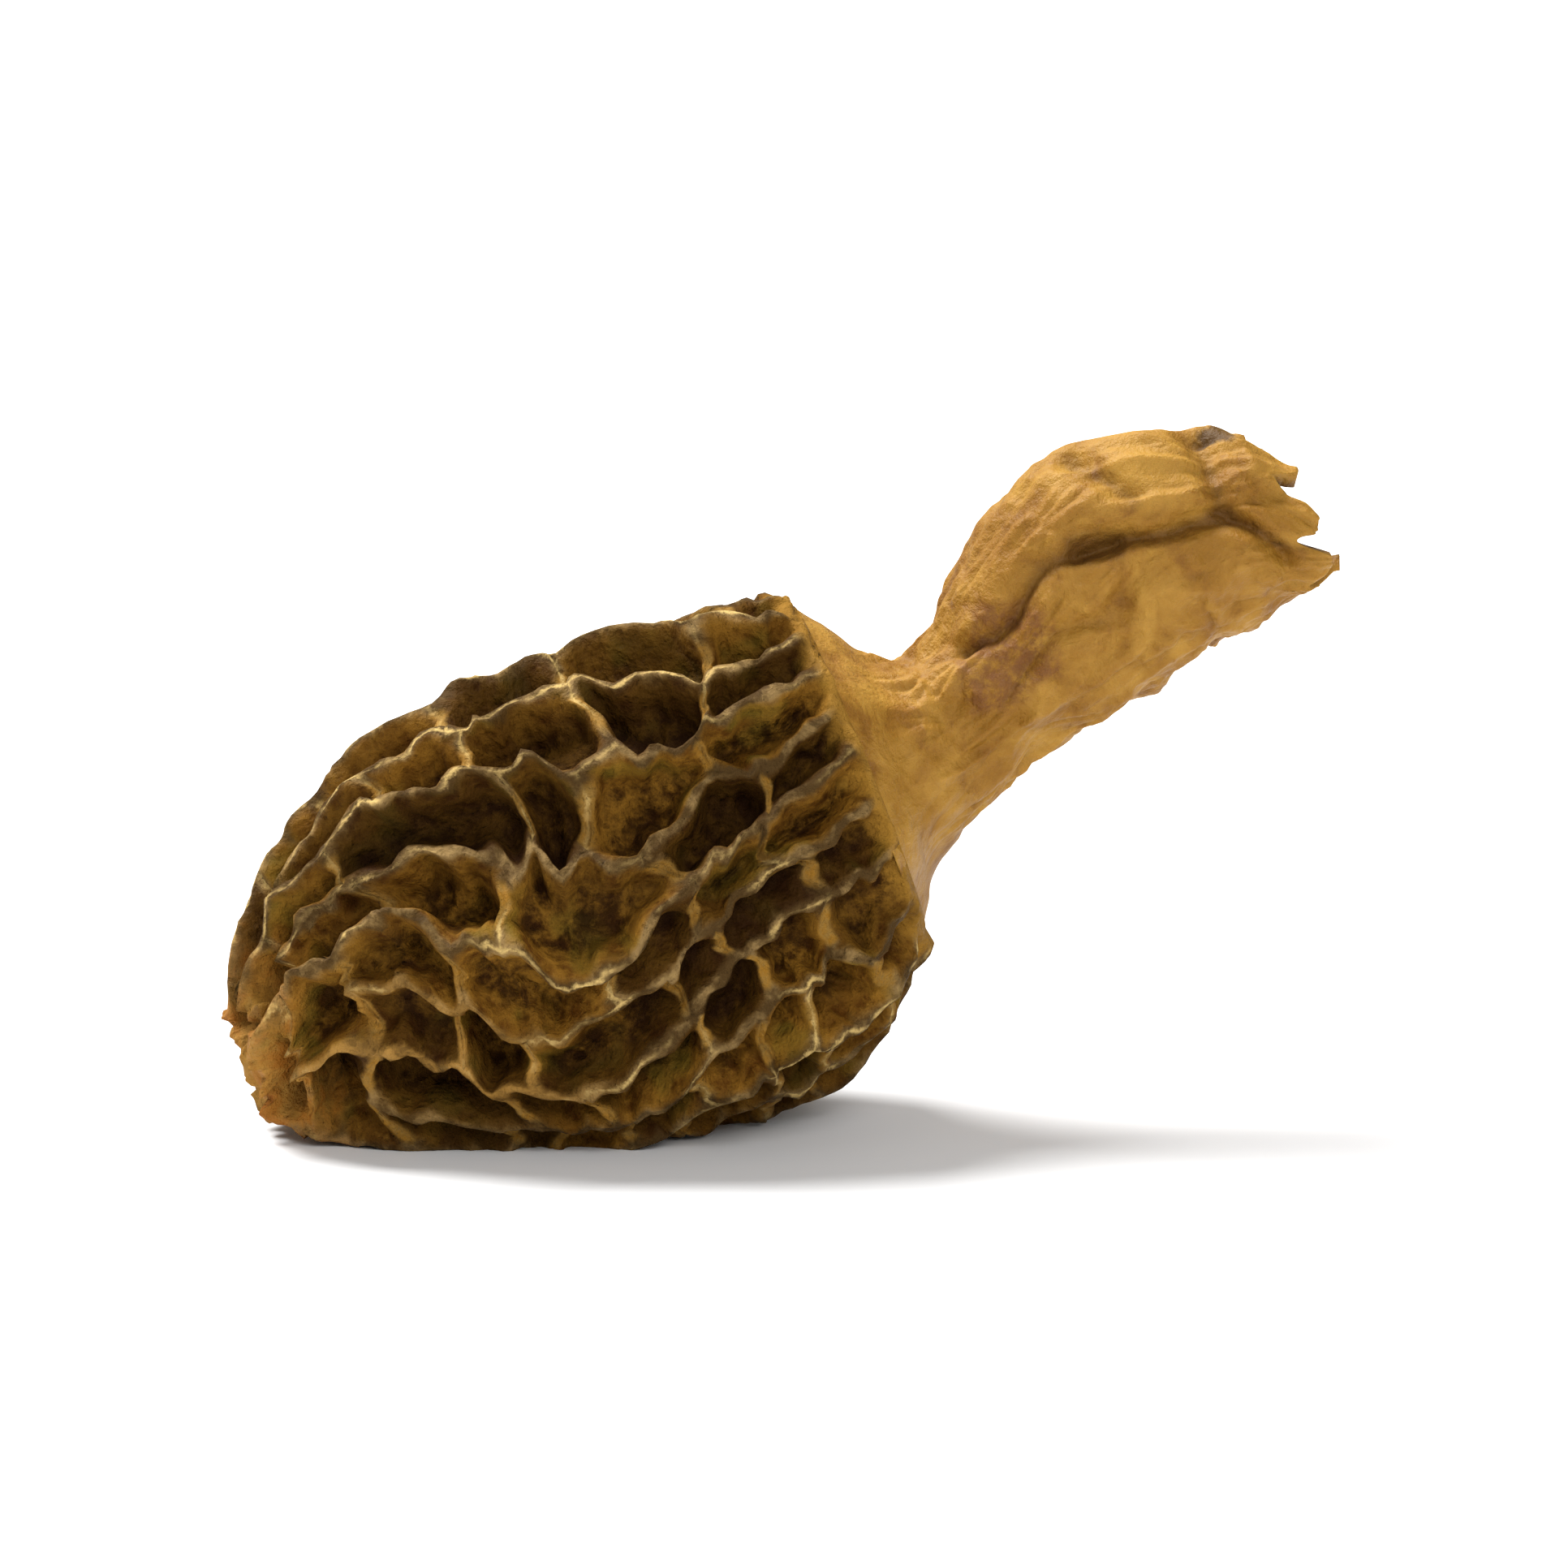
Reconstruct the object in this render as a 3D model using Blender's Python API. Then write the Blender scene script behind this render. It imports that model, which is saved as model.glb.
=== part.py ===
"""A dried morel mushroom, lying on its side: a cap covered with a net of ridges and pits,
and the hollow stem that it grew on, torn open at its far end.

+Z is up and the morel rests on z = 0. +X runs from the cap's tip to the stem's torn end.
"""

import math
import random

import bpy
import bmesh
import numpy as np

MM = 0.001

# How the morel lies, in degrees: the cap's axis rises towards the stem, and the whole
# thing is turned a little about the vertical.
CAP_PITCH = 21.0
YAW = 8.0
# How deep the lowest ridges are pressed flat where the cap rests, in millimetres.
REST_DEPTH = 1.2

# The cap, from its tip to its rim, in millimetres: the place along the axis, how far the
# section's centre lies above the axis, half the section's height and half its width.
CAP_STATIONS = (
    (-0.7, -1.9, 0.0, 0.0),
    (-0.3, -1.9, 2.4, 2.3),
    (0.6, -1.5, 4.1, 4.0),
    (2.2, -0.9, 5.6, 5.5),
    (5.0, -0.6, 7.3, 7.2),
    (8.5, -0.4, 9.2, 9.0),
    (13.0, -0.8, 10.5, 10.1),
    (17.5, -1.2, 10.9, 10.4),
    (22.0, -1.3, 10.65, 10.2),
    (25.5, -0.8, 9.85, 9.5),
    (27.6, -0.05, 8.75, 8.6),
    (28.3, 0.15, 7.95, 7.9),
)

# The net: ribs that run from the rim to the tip, and thin cross walls between them.
# Three ribs in four end before the tip, where the cap has no room for them.
NET_SEED = 39
SECTORS = 5
RIBS = 4 * SECTORS
ROWS = 44
POLE_ROW = 3
MIDDLE_RIB_ROWS = (5, 7)
OUTER_RIB_ROWS = (8, 12)
LONG_PIT_ROWS = 6.6
SHORT_PIT_ROWS = 4.0
RIB_STEP = 2.2
# How far a cross wall draws each of its ribs towards it, in rib spacings, over how many
# rows, and by how many rows a rib shifts its own.
JOINT_PULL = 0.15
JOINT_REACH = 1.4
ROW_SHIFT = 0.6
TABLE_STEPS = 10
RIB_WAVES = ((0, 2, 0.3), (1, 1, 0.4), (2, 1, 0.28), (3, 2, 0.18), (5, 3, 0.08), (7, 4, 0.05))
WALL_WAVES = ((3, 1, 0.012), (6, 3, 0.006), (9, 2, 0.009))
WALL_DROP = 0.55
RIB_UNEVEN = 0.2
# How far the ribs rise that start at the tip, a little later, and later still.
RIB_RISE = (0.3, 0.1, -0.15)
# Each ring of a pit, from its crest inwards: how far it is drawn in and how deep it lies.
PIT_RINGS = ((0.33, 0.35), (0.85, 2.1))
FLOOR_DEPTH = 2.5

# The flat base of the cap, and the gap between it and the stem's foot.
BASE_RING = 5.0
NODE_GAP = 0.3

# Long folds of the dried cap: the angle from the top at the tip and at the rim, in
# degrees, the depth in millimetres and the half width in degrees.
CAP_FOLDS = (
    (122.0, 100.0, 1.3, 14.0),
    (34.0, 70.0, 0.8, 13.0),
    (250.0, 264.0, 1.0, 15.0),
    (318.0, 306.0, 0.8, 14.0),
)

# The stem's centre line, in millimetres from the middle of the cap's base, with half the
# height and half the width of the stem there. It flares where it joins the cap.
STEM_STATIONS = (
    (0.0, 0.0, 7.5, 7.5),
    (0.5, 0.2, 6.3, 6.4),
    (1.3, 0.4, 5.0, 5.2),
    (2.4, 0.85, 4.1, 4.5),
    (3.9, 1.65, 3.5, 3.9),
    (5.6, 3.1, 3.75, 3.9),
    (7.3, 4.85, 4.5, 4.2),
    (9.7, 7.1, 5.1, 4.6),
    (13.1, 9.2, 5.0, 4.6),
    (16.7, 9.7, 3.9, 4.1),
    (20.2, 9.2, 1.7, 3.2),
)
STEM_SIDES = 40
STEM_RINGS = 26
STEM_INNER_RINGS = 14
STEM_WALL = 0.9
LIP_WALL = 0.78
INNER_FROM = 0.3

# How far along the stem its torn edge lies, by the angle from the top in degrees, towards
# the side that faces -Y. The slit at 84 degrees parts the upper lip from the lower one.
TORN_EDGE = (
    (0.0, 0.83),
    (16.0, 0.86),
    (30.0, 0.915),
    (42.0, 0.885),
    (60.0, 0.95),
    (74.0, 0.925),
    (84.0, 0.9),
    (93.0, 0.955),
    (108.0, 0.99),
    (122.0, 0.96),
    (142.0, 1.0),
    (165.0, 0.965),
    (185.0, 0.975),
    (215.0, 0.92),
    (235.0, 0.84),
    (255.0, 0.87),
    (285.0, 0.81),
    (325.0, 0.8),
)

# Creases of the stem: place along it and angle at each end, depth and half width in mm.
STEM_CREASES = (
    ((0.3, 46.0), (0.6, 62.0), 0.75, 0.6),
    ((0.56, 58.0), (0.88, 84.0), 0.8, 0.55),
    ((0.3, 80.0), (0.56, 88.0), 0.4, 0.6),
    ((0.62, 14.0), (0.66, 54.0), 0.6, 0.5),
    ((0.76, 10.0), (0.78, 62.0), 0.6, 0.55),
    ((0.3, 215.0), (0.75, 235.0), 0.8, 0.9),
    ((0.4, 318.0), (0.72, 300.0), 0.7, 0.8),
    ((0.35, 160.0), (0.8, 172.0), 0.35, 0.9),
)

CAP_COLOUR = (0.105, 0.062, 0.022, 1.0)
STEM_COLOUR = (0.56, 0.36, 0.125, 1.0)


def curve_through(stations, t, measured=2):
    """Points at t, from 0 to 1 by length, on a smooth curve through the stations.

    The length is taken over the first and the third value of each station, and the
    curve is a cubic whose slope at a station is that of its two neighbours."""
    values = np.array(stations, float)
    steps = np.diff(values[:, [0, measured]], axis=0)
    knots = np.concatenate([[0.0], np.cumsum(np.hypot(*steps.T))])
    knots /= knots[-1]
    slopes = np.gradient(values, knots, axis=0)
    t = np.clip(np.asarray(t, float), 0.0, 1.0)
    i = np.clip(np.searchsorted(knots, t, side="right") - 1, 0, len(knots) - 2)
    span = knots[i + 1] - knots[i]
    x = (t - knots[i]) / span
    x, span = x[..., None], span[..., None]
    return (
        values[i] * (2 * x**3 - 3 * x**2 + 1)
        + values[i + 1] * (3 * x**2 - 2 * x**3)
        + slopes[i] * span * (x**3 - 2 * x**2 + x)
        + slopes[i + 1] * span * (x**3 - x**2)
    )


def phases(count, seed):
    """Seeded phase angles for a sum of waves."""
    draw = random.Random(seed)
    return [draw.uniform(0.0, 2.0 * math.pi) for _ in range(count)]


def waves(u, v, terms, seed):
    """A sum of sine waves round the cap (u in ribs) and along it (v from 0 to 1)."""
    total = np.zeros(np.broadcast(u, v).shape)
    for (k, turns, height), phase in zip(terms, phases(len(terms), seed)):
        total += height * np.sin(2 * np.pi * (k * u / RIBS + turns * v) + phase)
    return total


def angle_apart(a, b):
    """The signed angle from b to a in degrees, within half a turn."""
    return (a - b + 180.0) % 360.0 - 180.0


def cap_skin(u, v):
    """The cap's skin over its ridges, in the cap's own frame: x along the axis from the
    tip, z up. u counts ribs round it from the top towards -Y, and v runs from the tip to
    the rim. Each section is an ellipse, swayed by waves and pressed in along the folds."""
    sway = waves(u, v, RIB_WAVES, NET_SEED) * np.clip(v * 6.0, 0.0, 1.0)
    angle = (u + sway) * 360.0 / RIBS
    along = v + waves(u, v, WALL_WAVES, NET_SEED + 1) * np.clip(4 * v * (1 - v), 0, 1)
    axial, centre, half_height, half_width = np.moveaxis(
        curve_through(CAP_STATIONS, along), -1, 0
    )
    press = np.zeros(angle.shape)
    for tip_angle, rim_angle, depth, half in CAP_FOLDS:
        middle = tip_angle + (rim_angle - tip_angle) * along
        press += depth * np.exp(-((angle_apart(angle, middle) / half) ** 2))
    press *= np.clip(along * 3.0, 0.0, 1.0) * np.clip((1.04 - along) * 6.0, 0.0, 1.0)
    turn = np.radians(angle)
    return np.stack(
        [
            axial,
            -(half_width - press) * np.sin(turn),
            centre + (half_height - press) * np.cos(turn),
        ],
        axis=-1,
    )


def cap_point(u, v, lift=0.0):
    """A point of the cap's skin moved outwards along its normal by lift."""
    u, v = np.asarray(u, float), np.asarray(v, float)
    near = np.clip(v, 0.012, 0.988)
    step = 0.01
    round_way = cap_skin(u + step, near) - cap_skin(u - step, near)
    long_way = cap_skin(u, near + step) - cap_skin(u, near - step)
    normal = np.cross(round_way, long_way)
    normal /= np.linalg.norm(normal, axis=-1, keepdims=True)
    return cap_skin(u, v) + normal * np.asarray(lift, float)[..., None]


def pit_stack(draw, first_rib, last_rib, first_row, last_row):
    """Pits one behind the other between two ribs, longer on top of the cap than below."""
    angle = math.radians(0.5 * (first_rib + last_rib) * 360.0 / RIBS)
    top = min(max(0.5 + math.cos(angle - 0.35), 0.0), 1.0)
    length = SHORT_PIT_ROWS + (LONG_PIT_ROWS - SHORT_PIT_ROWS) * top
    count = max(1, round((last_row - first_row) / length))
    pitch = (last_row - first_row) / count
    ends = [first_row]
    for k in range(1, count):
        row = round(first_row + pitch * (k + draw.uniform(-0.28, 0.28)))
        ends.append(min(max(row, ends[-1] + 3), last_row - 3))
    ends.append(last_row)
    return [(first_rib, last_rib, a, b) for a, b in zip(ends, ends[1:]) if b > a]


def net_pits():
    """Every pit of the net as (first rib, last rib, first row, last row)."""
    draw = random.Random(NET_SEED)
    pits = []
    for sector in range(SECTORS):
        rib = 4 * sector
        middle = draw.randint(*MIDDLE_RIB_ROWS)
        pits += pit_stack(draw, rib, rib + 4, POLE_ROW, middle)
        for half in (rib, rib + 2):
            outer = draw.randint(*OUTER_RIB_ROWS)
            pits += pit_stack(draw, half, half + 2, middle, outer)
            pits += pit_stack(draw, half, half + 1, outer, ROWS)
            pits += pit_stack(draw, half + 1, half + 2, outer, ROWS)
    return pits


def joint_tables(pits):
    """Two tables over the ribs and over TABLE_STEPS places to each row: how far a rib is
    drawn sideways by the cross walls that end on it, and how far its rows are shifted."""
    row = np.arange(TABLE_STEPS * ROWS + 1) / TABLE_STEPS
    drawn, shifted = np.zeros((2, RIBS, len(row)))
    joints = set()
    for a, b, first, last in pits:
        for joint in {first, last} - {POLE_ROW, ROWS}:
            joints |= {(a % RIBS, 1, joint), (b % RIBS, -1, joint)}
    for rib, way, joint in sorted(joints):
        drawn[rib] += way * JOINT_PULL * np.exp(-(((row - joint) / JOINT_REACH) ** 2))
    draw = random.Random(NET_SEED + 9)
    for rib in range(RIBS):
        slow, fast = draw.uniform(0.0, 6.3), draw.uniform(0.0, 6.3)
        shifted[rib] = ROW_SHIFT * (np.sin(0.45 * row + slow) + 0.4 * np.sin(1.1 * row + fast))
    fade = np.clip((row - POLE_ROW) / 4, 0, 1) * np.clip((ROWS - row) / 4, 0, 1)
    return drawn * fade, shifted * fade


def table_value(table, u, row):
    """The value of a table at a place of the net, between its own places."""
    rib, x = np.floor(u).astype(int), u - np.floor(u)
    step = np.clip((row * TABLE_STEPS).astype(int), 0, table.shape[1] - 2)
    y = row * TABLE_STEPS - step
    near = table[rib % RIBS, step] * (1 - y) + table[rib % RIBS, step + 1] * y
    far = table[(rib + 1) % RIBS, step] * (1 - y) + table[(rib + 1) % RIBS, step + 1] * y
    return near * (1 - x) + far * x


def net_point(u, row, lift):
    """A point of the cap at a place of the net, whose ribs zigzag from wall to wall."""
    u, row = np.asarray(u, float), np.asarray(row, float)
    drawn, shifted = table_value(DRAWN, u, row), table_value(SHIFTED, u, row)
    return cap_point(u + drawn, (row + shifted) / ROWS, lift)


def net_lines(pits):
    """The junctions on each rib and on each row of cross walls."""
    ribs, rows = {}, {}
    for a, b, first, last in pits:
        for rib in (a % RIBS, b % RIBS):
            for row in (first, last):
                ribs.setdefault(rib, set()).add(row)
                rows.setdefault(row, set()).add(rib)
    return ribs, rows


def rib_stops(ribs, rib, first, last):
    """Rows along a rib from first to last: its junctions, and points between them."""
    joints = sorted(r for r in ribs[rib % RIBS] if first <= r <= last)
    stops = [float(joints[0])]
    for a, b in zip(joints, joints[1:]):
        count = max(1, math.ceil((b - a) * CAP_LENGTH / ROWS / RIB_STEP))
        stops += [a + (b - a) * k / count for k in range(1, count + 1)]
    return stops


CAP_LENGTH = float(
    np.hypot(*np.diff(curve_through(CAP_STATIONS, np.linspace(0, 1, 200))[:, [0, 2]], axis=0).T).sum()
)
PITS = net_pits()
DRAWN, SHIFTED = joint_tables(PITS)
PIT_LUCK = np.random.default_rng(NET_SEED).uniform(size=(len(PITS), 4))


def wall_stops(rows, row, first, last):
    """Rib positions along a cross wall: its junctions, and one point between each two."""
    joints = sorted(
        rib + turn
        for rib in rows[row]
        for turn in (0, RIBS)
        if first <= rib + turn <= last
    )
    stops = [float(joints[0])]
    for a, b in zip(joints, joints[1:]):
        stops += [(a + b) / 2, float(b)]
    return stops


def to_world(points, origin=(0.0, 0.0, 0.0), pitch=CAP_PITCH):
    """Turns points from the cap's frame so that its axis rises by pitch."""
    rise = math.radians(pitch)
    x, y, z = np.moveaxis(np.asarray(points, float), -1, 0)
    turned = np.stack(
        [x * math.cos(rise) - z * math.sin(rise), y, x * math.sin(rise) + z * math.cos(rise)],
        axis=-1,
    )
    return turned + np.array(origin)


def add_ring(bm, points):
    return [bm.verts.new(p) for p in points]


def bridge(bm, first, second):
    """Quads between two rings that hold the same number of points."""
    for i in range(len(first)):
        j = (i + 1) % len(first)
        bm.faces.new((first[i], first[j], second[j], second[i]))


def net_loops():
    """The crest round each pit as a loop of (rib position, row), the tip's own loop last,
    and the loop of the rim. Pits that meet hold the same points along what they share."""
    ribs, rows = net_lines(PITS)
    loops = []
    for a, b, first, last in PITS:
        loop = [(a, row) for row in rib_stops(ribs, a, first, last)]
        loop += [(u, last) for u in wall_stops(rows, last, a, b)[1:]]
        loop += [(b, row) for row in reversed(rib_stops(ribs, b, first, last)[:-1])]
        loop += [(u, first) for u in reversed(wall_stops(rows, first, a, b)[1:-1])]
        loops.append(loop)
    around = [wall_stops(rows, row, 0, RIBS)[:-1] for row in (POLE_ROW, ROWS)]
    return loops, [(u, POLE_ROW) for u in around[0]], [(u, ROWS) for u in around[1]]


def crest_points(keys):
    """Where the crest runs at each of the given places of the net."""
    u, row = np.array(keys, float).T
    return net_point(u, row, crest_lift(u, row))


def crest_lift(u, row):
    """How far the net's crest lies off the skin: ribs are uneven and of three heights,
    and walls hang lower, most of all on top, each by an amount of its own."""
    turn = 2 * np.pi * u / RIBS
    uneven = np.sin(7 * turn + 0.55 * row) * np.sin(0.9 * row + 5 * turn) - 1.0
    nearest = np.round(u)
    rise = np.choose((nearest % 4).astype(int), (0, 2, 1, 2))
    rise = np.array(RIB_RISE)[rise]
    on_wall = np.clip(np.abs(u - nearest) / 0.3, 0, 1) * (row > POLE_ROW) * (row < ROWS)
    upper = np.clip(0.5 + np.cos(turn - 0.35), 0, 1)
    drop = WALL_DROP * (0.6 + upper) * (1 + 0.5 * np.sin(5.1 * row + 2.0 * np.floor(u)))
    inside = np.clip((ROWS - row) / 3.0, 0, 1)
    return RIB_UNEVEN * uneven + rise * inside * (1 - on_wall) - drop * on_wall


def pit_sizes(loops):
    """The width and length of each pit, measured across its middle."""
    low = np.array([np.min(loop, axis=0) for loop in loops], float)
    high = np.array([np.max(loop, axis=0) for loop in loops], float)
    (a, first), (b, last) = low.T, high.T
    u, row = (a + b) / 2, (first + last) / 2
    across = cap_skin(b, row / ROWS) - cap_skin(a, row / ROWS)
    along = cap_skin(u, last / ROWS) - cap_skin(u, first / ROWS)
    return np.stack([np.linalg.norm(across, axis=-1), np.linalg.norm(along, axis=-1)], axis=-1)


def rounded(square, power=3.0):
    """Places of a pit's outline, from -1 to 1 each way, with its corners rounded off."""
    corner = (np.abs(square) ** power).sum(axis=-1, keepdims=True) ** (1 / power)
    return square / corner


def sunk_rings(loops, inset, depth):
    """Every pit's loop drawn in by inset on each side and sunk by depth; narrow pits and
    those by the rim are shallower. Returns one array of points for each loop."""
    places, depths = [], []
    for loop, size, luck in zip(loops, pit_sizes(loops), PIT_LUCK[:, 0]):
        ring = np.array(loop, float)
        middle = (ring.min(axis=0) + ring.max(axis=0)) / 2
        half = (ring.max(axis=0) - ring.min(axis=0)) / 2
        square = (ring - middle) / half
        share = min(max((inset - 0.1) / 0.4, 0.0), 1.0)
        shape = square + (rounded(square) - square) * share
        places.append(middle + half * shape * np.maximum(0.3, 1 - 2 * inset / size))
        scale = min(1.0, 0.35 + 0.65 * float(size.min()) / 2.6)
        depths.append(np.full(len(loop), depth * scale * (0.8 + 0.35 * luck)))
    u, row = np.concatenate(places).T
    shallow = 0.55 + 0.45 * np.clip((ROWS - row) / 6, 0, 1)
    points = to_world(net_point(u, row, -np.concatenate(depths) * shallow))
    return np.split(points, np.cumsum([len(loop) for loop in loops])[:-1])


def sink_pits(bm):
    """The net with its pits sunk between the crests; returns the points of the rim."""
    loops, pole, rim = net_loops()
    keys = sorted({(u % RIBS, row) for loop in loops + [pole, rim] for u, row in loop})
    crest = dict(zip(keys, add_ring(bm, to_world(crest_points(keys)))))
    rings = [[crest[(u % RIBS, row)] for u, row in loop] for loop in loops]
    for inset, depth in PIT_RINGS:
        lower = [add_ring(bm, ring) for ring in sunk_rings(loops, inset, depth)]
        for upper_ring, lower_ring in zip(rings, lower):
            bridge(bm, upper_ring, lower_ring)
        rings = lower
    for ring, floor in zip(rings, sunk_rings(loops, 99.0, FLOOR_DEPTH)):
        middle = bm.verts.new(floor.mean(axis=0))
        for i, vert in enumerate(ring):
            bm.faces.new((vert, ring[(i + 1) % len(ring)], middle))
    tip = [crest[(u % RIBS, row)] for u, row in pole]
    u = np.array(pole)[:, 0]
    inner = add_ring(bm, to_world(cap_point(u, np.full(u.shape, 0.03), np.full(u.shape, -0.4))))
    bridge(bm, tip, inner)
    bm.faces.new(inner)
    return [crest[(u % RIBS, row)] for u, row in rim]


def base_ring(axial, radius, count):
    """A round ring across the cap's axis, one point for each point of the rim."""
    turn = np.linspace(0, 2 * np.pi, count, endpoint=False)
    centre = CAP_STATIONS[-1][1]
    ring = np.stack(
        [np.full(count, axial), -radius * np.sin(turn), centre + radius * np.cos(turn)],
        axis=-1,
    )
    return to_world(ring)


def build_cap(collection):
    """The cap: the pits are sunk into the net, and its flat base meets the stem."""
    bm = bmesh.new()
    rim = sink_pits(bm)
    count = len(rim)
    base = CAP_STATIONS[-1][0]
    rings = [rim, add_ring(bm, base_ring(base, BASE_RING, count))]
    for first, second in zip(rings, rings[1:]):
        bridge(bm, first, second)
    bm.faces.new(rings[-1])
    return finish(bm, "cap", CAP_COLOUR, 0.78, collection)


def torn_edge(angle):
    """How far along the stem the torn edge lies at an angle from the top, in degrees."""
    known = TORN_EDGE + ((TORN_EDGE[0][0] + 360.0, TORN_EDGE[0][1]),)
    angles, places = np.array(known).T
    angle = np.asarray(angle) % 360.0
    i = np.clip(np.searchsorted(angles, angle, side="right") - 1, 0, len(angles) - 2)
    x = (angle - angles[i]) / (angles[i + 1] - angles[i])
    x = x * x * (3 - 2 * x)
    return places[i] + (places[i + 1] - places[i]) * x


def stem_creases(t, angle, radius):
    """How deep the stem is creased at a point: each crease is a trough about a line."""
    depth = np.zeros(np.broadcast(t, angle).shape)
    for (t0, angle0), (t1, angle1), deep, half in STEM_CREASES:
        length = 26.0
        run = np.array([(t1 - t0) * length, math.radians(angle1 - angle0) * 4.3])
        x = (t - t0) * length
        y = np.radians(angle_apart(angle, angle0)) * radius + 0.4 * np.sin(1.1 * x + angle0)
        share = np.clip((x * run[0] + y * run[1]) / (run @ run), 0.0, 1.0)
        apart = np.hypot(x - share * run[0], y - share * run[1])
        depth += deep * np.exp(-((apart / half) ** 2))
    return depth


def stem_point(t, angle, inside=0.0):
    """A point of the stem at t along its centre line and an angle from the top towards
    -Y, pressed in by its creases, and by inside where it lies on the inner wall."""
    t, angle = np.broadcast_arrays(np.asarray(t, float), np.asarray(angle, float))
    x, z, half_height, half_width = np.moveaxis(curve_through(STEM_STATIONS, t, 1), -1, 0)
    step = 0.01
    ahead = curve_through(STEM_STATIONS, np.clip(t + step, 0, 1), 1)
    behind = curve_through(STEM_STATIONS, np.clip(t - step, 0, 1), 1)
    heading = np.arctan2(ahead[..., 1] - behind[..., 1], ahead[..., 0] - behind[..., 0])
    joined = np.clip(t / 0.16, 0.0, 1.0)
    joined = joined * joined * (3 - 2 * joined)
    heading = math.radians(CAP_PITCH) * (1 - joined) + heading * joined
    turn = np.radians(angle)
    flare = np.clip(1 - t / 0.2, 0.0, 1.0)
    webs = 1 + 0.07 * flare * np.cos(6 * turn + 0.8) - 0.05 * flare
    press = stem_creases(t, angle, half_height) * (1 - flare) + inside
    high = (half_height * webs - press) * np.cos(turn)
    wide = (half_width * webs - press) * np.sin(turn)
    return np.stack([x - high * np.sin(heading), -wide, z + high * np.cos(heading)], axis=-1)


def stem_origin():
    """The middle of the stem's foot: just off the cap's base."""
    base = CAP_STATIONS[-1]
    return to_world([base[0] + NODE_GAP, 0.0, base[1]])


def build_stem(collection):
    """The stem: rings up the outside, over the torn edge and back down the inside."""
    bm = bmesh.new()
    angle = np.linspace(0, 360, STEM_SIDES, endpoint=False)
    edge = torn_edge(angle)
    origin = stem_origin()
    rings = []
    for share in np.linspace(0, 1, STEM_RINGS) ** 1.15:
        rings.append(add_ring(bm, stem_point(edge * share, angle) + origin))
    for share in np.linspace(1, 0, STEM_INNER_RINGS):
        t = edge * (INNER_FROM + (1 - INNER_FROM) * share)
        wall = STEM_WALL + (LIP_WALL - STEM_WALL) * share**3
        rings.append(add_ring(bm, stem_point(t, angle, inside=wall) + origin))
    for first, second in zip(rings, rings[1:]):
        bridge(bm, first, second)
    bm.faces.new(rings[0])
    bm.faces.new(rings[-1])
    return finish(bm, "stem", STEM_COLOUR, 0.6, collection)


def finish(bm, name, colour, roughness, collection):
    """Makes the object in metres, turned by the yaw, with its material."""
    turn = math.radians(YAW)
    for vert in bm.verts:
        x, y, z = vert.co
        vert.co = (
            (x * math.cos(turn) - y * math.sin(turn)) * MM,
            (x * math.sin(turn) + y * math.cos(turn)) * MM,
            z * MM,
        )
    bmesh.ops.triangulate(bm, faces=bm.faces)
    bmesh.ops.recalc_face_normals(bm, faces=bm.faces)
    if bm.calc_volume(signed=True) < 0:
        bmesh.ops.reverse_faces(bm, faces=bm.faces)
    mesh = bpy.data.meshes.new(name)
    bm.to_mesh(mesh)
    bm.free()
    mesh.shade_smooth()
    mesh.set_sharp_from_angle(angle=math.radians(40))
    material = bpy.data.materials.new(name)
    material.use_nodes = True
    shader = material.node_tree.nodes["Principled BSDF"]
    shader.inputs["Base Color"].default_value = colour
    shader.inputs["Roughness"].default_value = roughness
    shader.inputs["Metallic"].default_value = 0.0
    mesh.materials.append(material)
    item = bpy.data.objects.new(name, mesh)
    collection.objects.link(item)
    return item


def set_down(items):
    """Moves the pieces so that the morel rests on z = 0 with its box centred on the
    origin, and presses the lowest ridges flat."""
    points = np.array([v.co for item in items for v in item.data.vertices])
    low, high = points.min(axis=0), points.max(axis=0)
    floor = low[2] + REST_DEPTH * MM
    middle = (low + high) / 2
    for item in items:
        for vert in item.data.vertices:
            vert.co.x -= middle[0]
            vert.co.y -= middle[1]
            vert.co.z = max(vert.co.z, floor) - floor
        item.data.update()


def main():
    for item in list(bpy.data.objects):
        bpy.data.objects.remove(item)
    collection = bpy.context.scene.collection
    set_down([build_cap(collection), build_stem(collection)])


main()
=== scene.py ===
"""A dried morel mushroom on a pale floor, in soft studio light.

Each piece is laid out in millimetres in the cap's own frame: x runs along the cap's axis
from its tip and z is up. It is then tilted, turned and set down on the floor, in metres.
"""

import math
import random

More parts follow.
